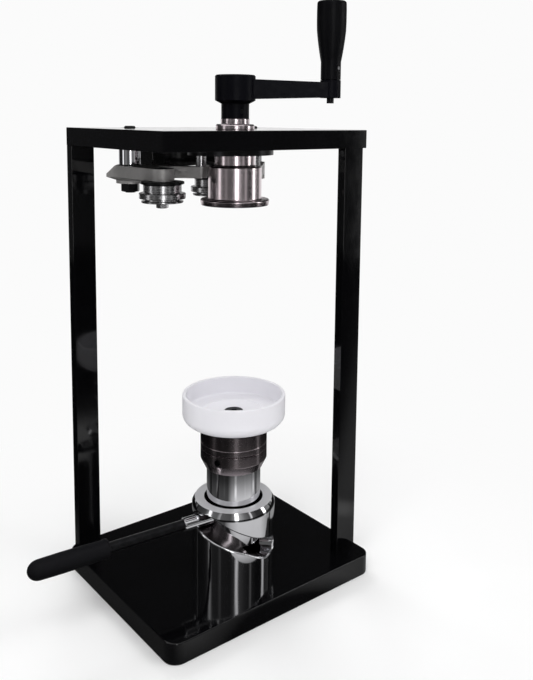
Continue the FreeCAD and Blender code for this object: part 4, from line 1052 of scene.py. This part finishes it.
def surroundings_material(name, on_floor):
    """Dark and bright studio surroundings that only gloss and chrome reflect."""
    material, tree, where = blank(name)
    direction = direction_share(tree, where)
    around = bands(tree, direction, SURROUNDINGS, PER_DEGREE)
    if on_floor:
        away = add_node(tree, "ShaderNodeVectorMath", {0: where},
                        operation="LENGTH").outputs["Value"]
        near = bands(tree, direction, FLOOR_SIDES, PER_DEGREE, bands(tree, away, FLOOR_RING))
        far = bands(tree, away, FLOOR_FADE, over=around)
        layers = {"Factor": bands(tree, away, FLOOR_REACH), 6: near, 7: far}
    else:
        height = add_node(tree, "ShaderNodeSeparateXYZ", {"Vector": where}).outputs["Z"]
        foot = bands(tree, direction, WALL_FOOT_SIDES, PER_DEGREE,
                     bands(tree, height, WALL_FOOT))
        layers = {"Factor": foot, 6: around, 7: WALL_FOOT_TONE}
    tones = add_node(tree, "ShaderNodeMix", layers, data_type="RGBA").outputs[2]
    glow = add_node(tree, "ShaderNodeEmission", {"Color": tones, "Strength": BRIGHTEST})
    add_node(tree, "ShaderNodeOutputMaterial", {"Surface": glow.outputs["Emission"]})
    return material


def floor_material():
    """Matt white floor that takes the shadow near the object and is plain white beyond."""
    floor = Surface("matt_studio_floor", "floor", {"Roughness": 0.9})
    tree = floor.tree
    floor.tint(floor.grain(300.0, 3.0), 1.0, 0.98)
    away = add_node(tree, "ShaderNodeVectorMath", {0: floor.where}, operation="LENGTH")
    beyond = add_node(tree, "ShaderNodeMapRange", {
        "Value": away.outputs["Value"], "From Min": FLOOR_PLAIN[0],
        "From Max": FLOOR_PLAIN[1]}, interpolation_type="SMOOTHSTEP")
    path = add_node(tree, "ShaderNodeLightPath")
    share = add_node(tree, "ShaderNodeMath", {
        0: path.outputs["Is Camera Ray"], 1: beyond.outputs["Result"]}, operation="MULTIPLY")
    plain = add_node(tree, "ShaderNodeEmission", {"Color": (*floor.base, 1.0), "Strength": 1.0})
    surface = add_node(tree, "ShaderNodeMixShader", {
        0: share.outputs[0], 1: floor.shader.outputs["BSDF"], 2: plain.outputs["Emission"]})
    tree.links.new(surface.outputs[0], floor.output.inputs["Surface"])
    return floor.material


class SEAMER_OT_stage(bpy.types.Operator):
    """Pale floor, white world, reflected surroundings, soft lamps and the camera"""
    bl_idname = "seamer.stage"
    bl_label = "Stage"

    def execute(self, context):
        scene = context.scene
        scene.view_settings.view_transform = "Standard"
        self.world(scene)
        floor = bmesh.new()
        bmesh.ops.create_grid(floor, x_segments=1, y_segments=1, size=FLOOR_SIZE)
        bmesh.ops.translate(floor, verts=floor.verts, vec=(0, 0, FLOOR_LEVEL))
        stage_piece(floor, "studio_floor", floor_material())
        wall = bmesh.new()
        bmesh.ops.create_cone(wall, cap_ends=False, segments=96, radius1=WALL_DISTANCE,
                              radius2=WALL_DISTANCE, depth=WALL_HEIGHT)
        bmesh.ops.translate(wall, verts=wall.verts, vec=(0, 0, WALL_HEIGHT / 2))
        ring = bmesh.new()
        bmesh.ops.create_circle(ring, cap_ends=True, segments=96, radius=WALL_DISTANCE)
        bmesh.ops.translate(ring, verts=ring.verts, vec=(0, 0, REFLECTED_FLOOR_LEVEL))
        for bm, name in ((wall, "studio_surroundings"), (ring, "floor_surroundings")):
            panel = stage_piece(bm, name, surroundings_material(name, bm is ring))
            panel.visible_camera = False
            panel.visible_diffuse = False
            panel.visible_shadow = False
            panel.visible_transmission = False
        for name, details in LAMPS.items():
            self.lamp(scene, name, *details)
        self.camera(scene)
        return {"FINISHED"}

    @staticmethod
    def world(scene):
        """A white world to the eye and to gloss, which lights the object less."""
        scene.world = bpy.data.worlds.new("white_studio")
        scene.world.use_nodes = True
        tree = scene.world.node_tree
        tree.nodes.clear()
        path = add_node(tree, "ShaderNodeLightPath")
        seen = add_node(tree, "ShaderNodeMath", {
            0: path.outputs["Is Camera Ray"], 1: path.outputs["Is Glossy Ray"]},
            operation="MAXIMUM")
        seen = add_node(tree, "ShaderNodeMath", {
            0: seen.outputs[0], 1: path.outputs["Is Transmission Ray"]}, operation="MAXIMUM")
        strength = add_node(tree, "ShaderNodeMapRange", {
            "Value": seen.outputs[0], "To Min": AMBIENT, "To Max": 1.0})
        sky = add_node(tree, "ShaderNodeBackground", {
            "Color": (*colours().floor, 1), "Strength": strength.outputs["Result"]})
        add_node(tree, "ShaderNodeOutputWorld", {"Surface": sky.outputs[0]})

    @staticmethod
    def lamp(scene, name, place, width, height, watts):
        """A soft lamp that gloss doesn't show."""
        data = bpy.data.lights.new(name, "AREA")
        data.shape = "RECTANGLE"
        data.size, data.size_y, data.energy = width, height, watts
        lamp = bpy.data.objects.new(name, data)
        scene.collection.objects.link(lamp)
        lamp.location = place
        lamp.visible_glossy = False
        aim = Vector(LAMP_AIM) - Vector(place)
        lamp.rotation_euler = aim.to_track_quat("-Z", "Y").to_euler()

    @staticmethod
    def camera(scene):
        """The camera at the photograph's viewpoint, for a frame of 533 by 680."""
        data = bpy.data.cameras.new("camera")
        camera = bpy.data.objects.new("camera", data)
        scene.collection.objects.link(camera)
        yaw, pitch, roll = CAMERA_TURN
        forward = Vector((cos(yaw) * cos(pitch), sin(yaw) * cos(pitch), -sin(pitch)))
        right = Vector((sin(yaw), -cos(yaw), 0.0))
        up = right.cross(forward)
        right, up = (right * cos(roll) + up * sin(roll), up * cos(roll) - right * sin(roll))
        turn = Matrix((right, up, -forward)).transposed().to_4x4()
        camera.matrix_world = Matrix.Translation(Vector(CAMERA_PLACE) * MM) @ turn
        data.sensor_width = SENSOR
        data.lens = CAMERA_LENS_PIXELS * SENSOR / FRAME_HEIGHT_PIXELS
        data.shift_y = CAMERA_SHIFT
        scene.camera = camera


class SEAMER_PT_panel(bpy.types.Panel):
    """Lists the operators that make the can seamer's pieces"""
    bl_idname = "SEAMER_PT_panel"
    bl_label = "Can seamer"
    bl_space_type = "VIEW_3D"
    bl_region_type = "UI"
    bl_category = "Can seamer"

    def draw(self, context):
        for operator in OPERATORS:
            self.layout.operator(operator.bl_idname)
        for group in (context.scene.seamer_sizes, context.scene.seamer_colours):
            for name in group.__annotations__:
                self.layout.prop(group, name)


OPERATORS = (
    SEAMER_OT_stage, SEAMER_OT_frame, SEAMER_OT_crank, SEAMER_OT_crank_grip,
    SEAMER_OT_chuck, SEAMER_OT_cam, SEAMER_OT_pivots, SEAMER_OT_arms, SEAMER_OT_rollers,
    SEAMER_OT_lift_sleeve, SEAMER_OT_lift_column, SEAMER_OT_can_cup, SEAMER_OT_lever,
)
CLASSES = (SeamerSizes, SeamerColours, *OPERATORS, SEAMER_PT_panel)


def register():
    for each in CLASSES:
        bpy.utils.register_class(each)
    bpy.types.Scene.seamer_sizes = PointerProperty(type=SeamerSizes)
    bpy.types.Scene.seamer_colours = PointerProperty(type=SeamerColours)


def unregister():
    del bpy.types.Scene.seamer_colours
    del bpy.types.Scene.seamer_sizes
    for each in reversed(CLASSES):
        bpy.utils.unregister_class(each)


def main():
    register()
    for operator in OPERATORS:
        group, name = operator.bl_idname.split(".")
        getattr(getattr(bpy.ops, group), name)()


if __name__ == "__main__":
    main()
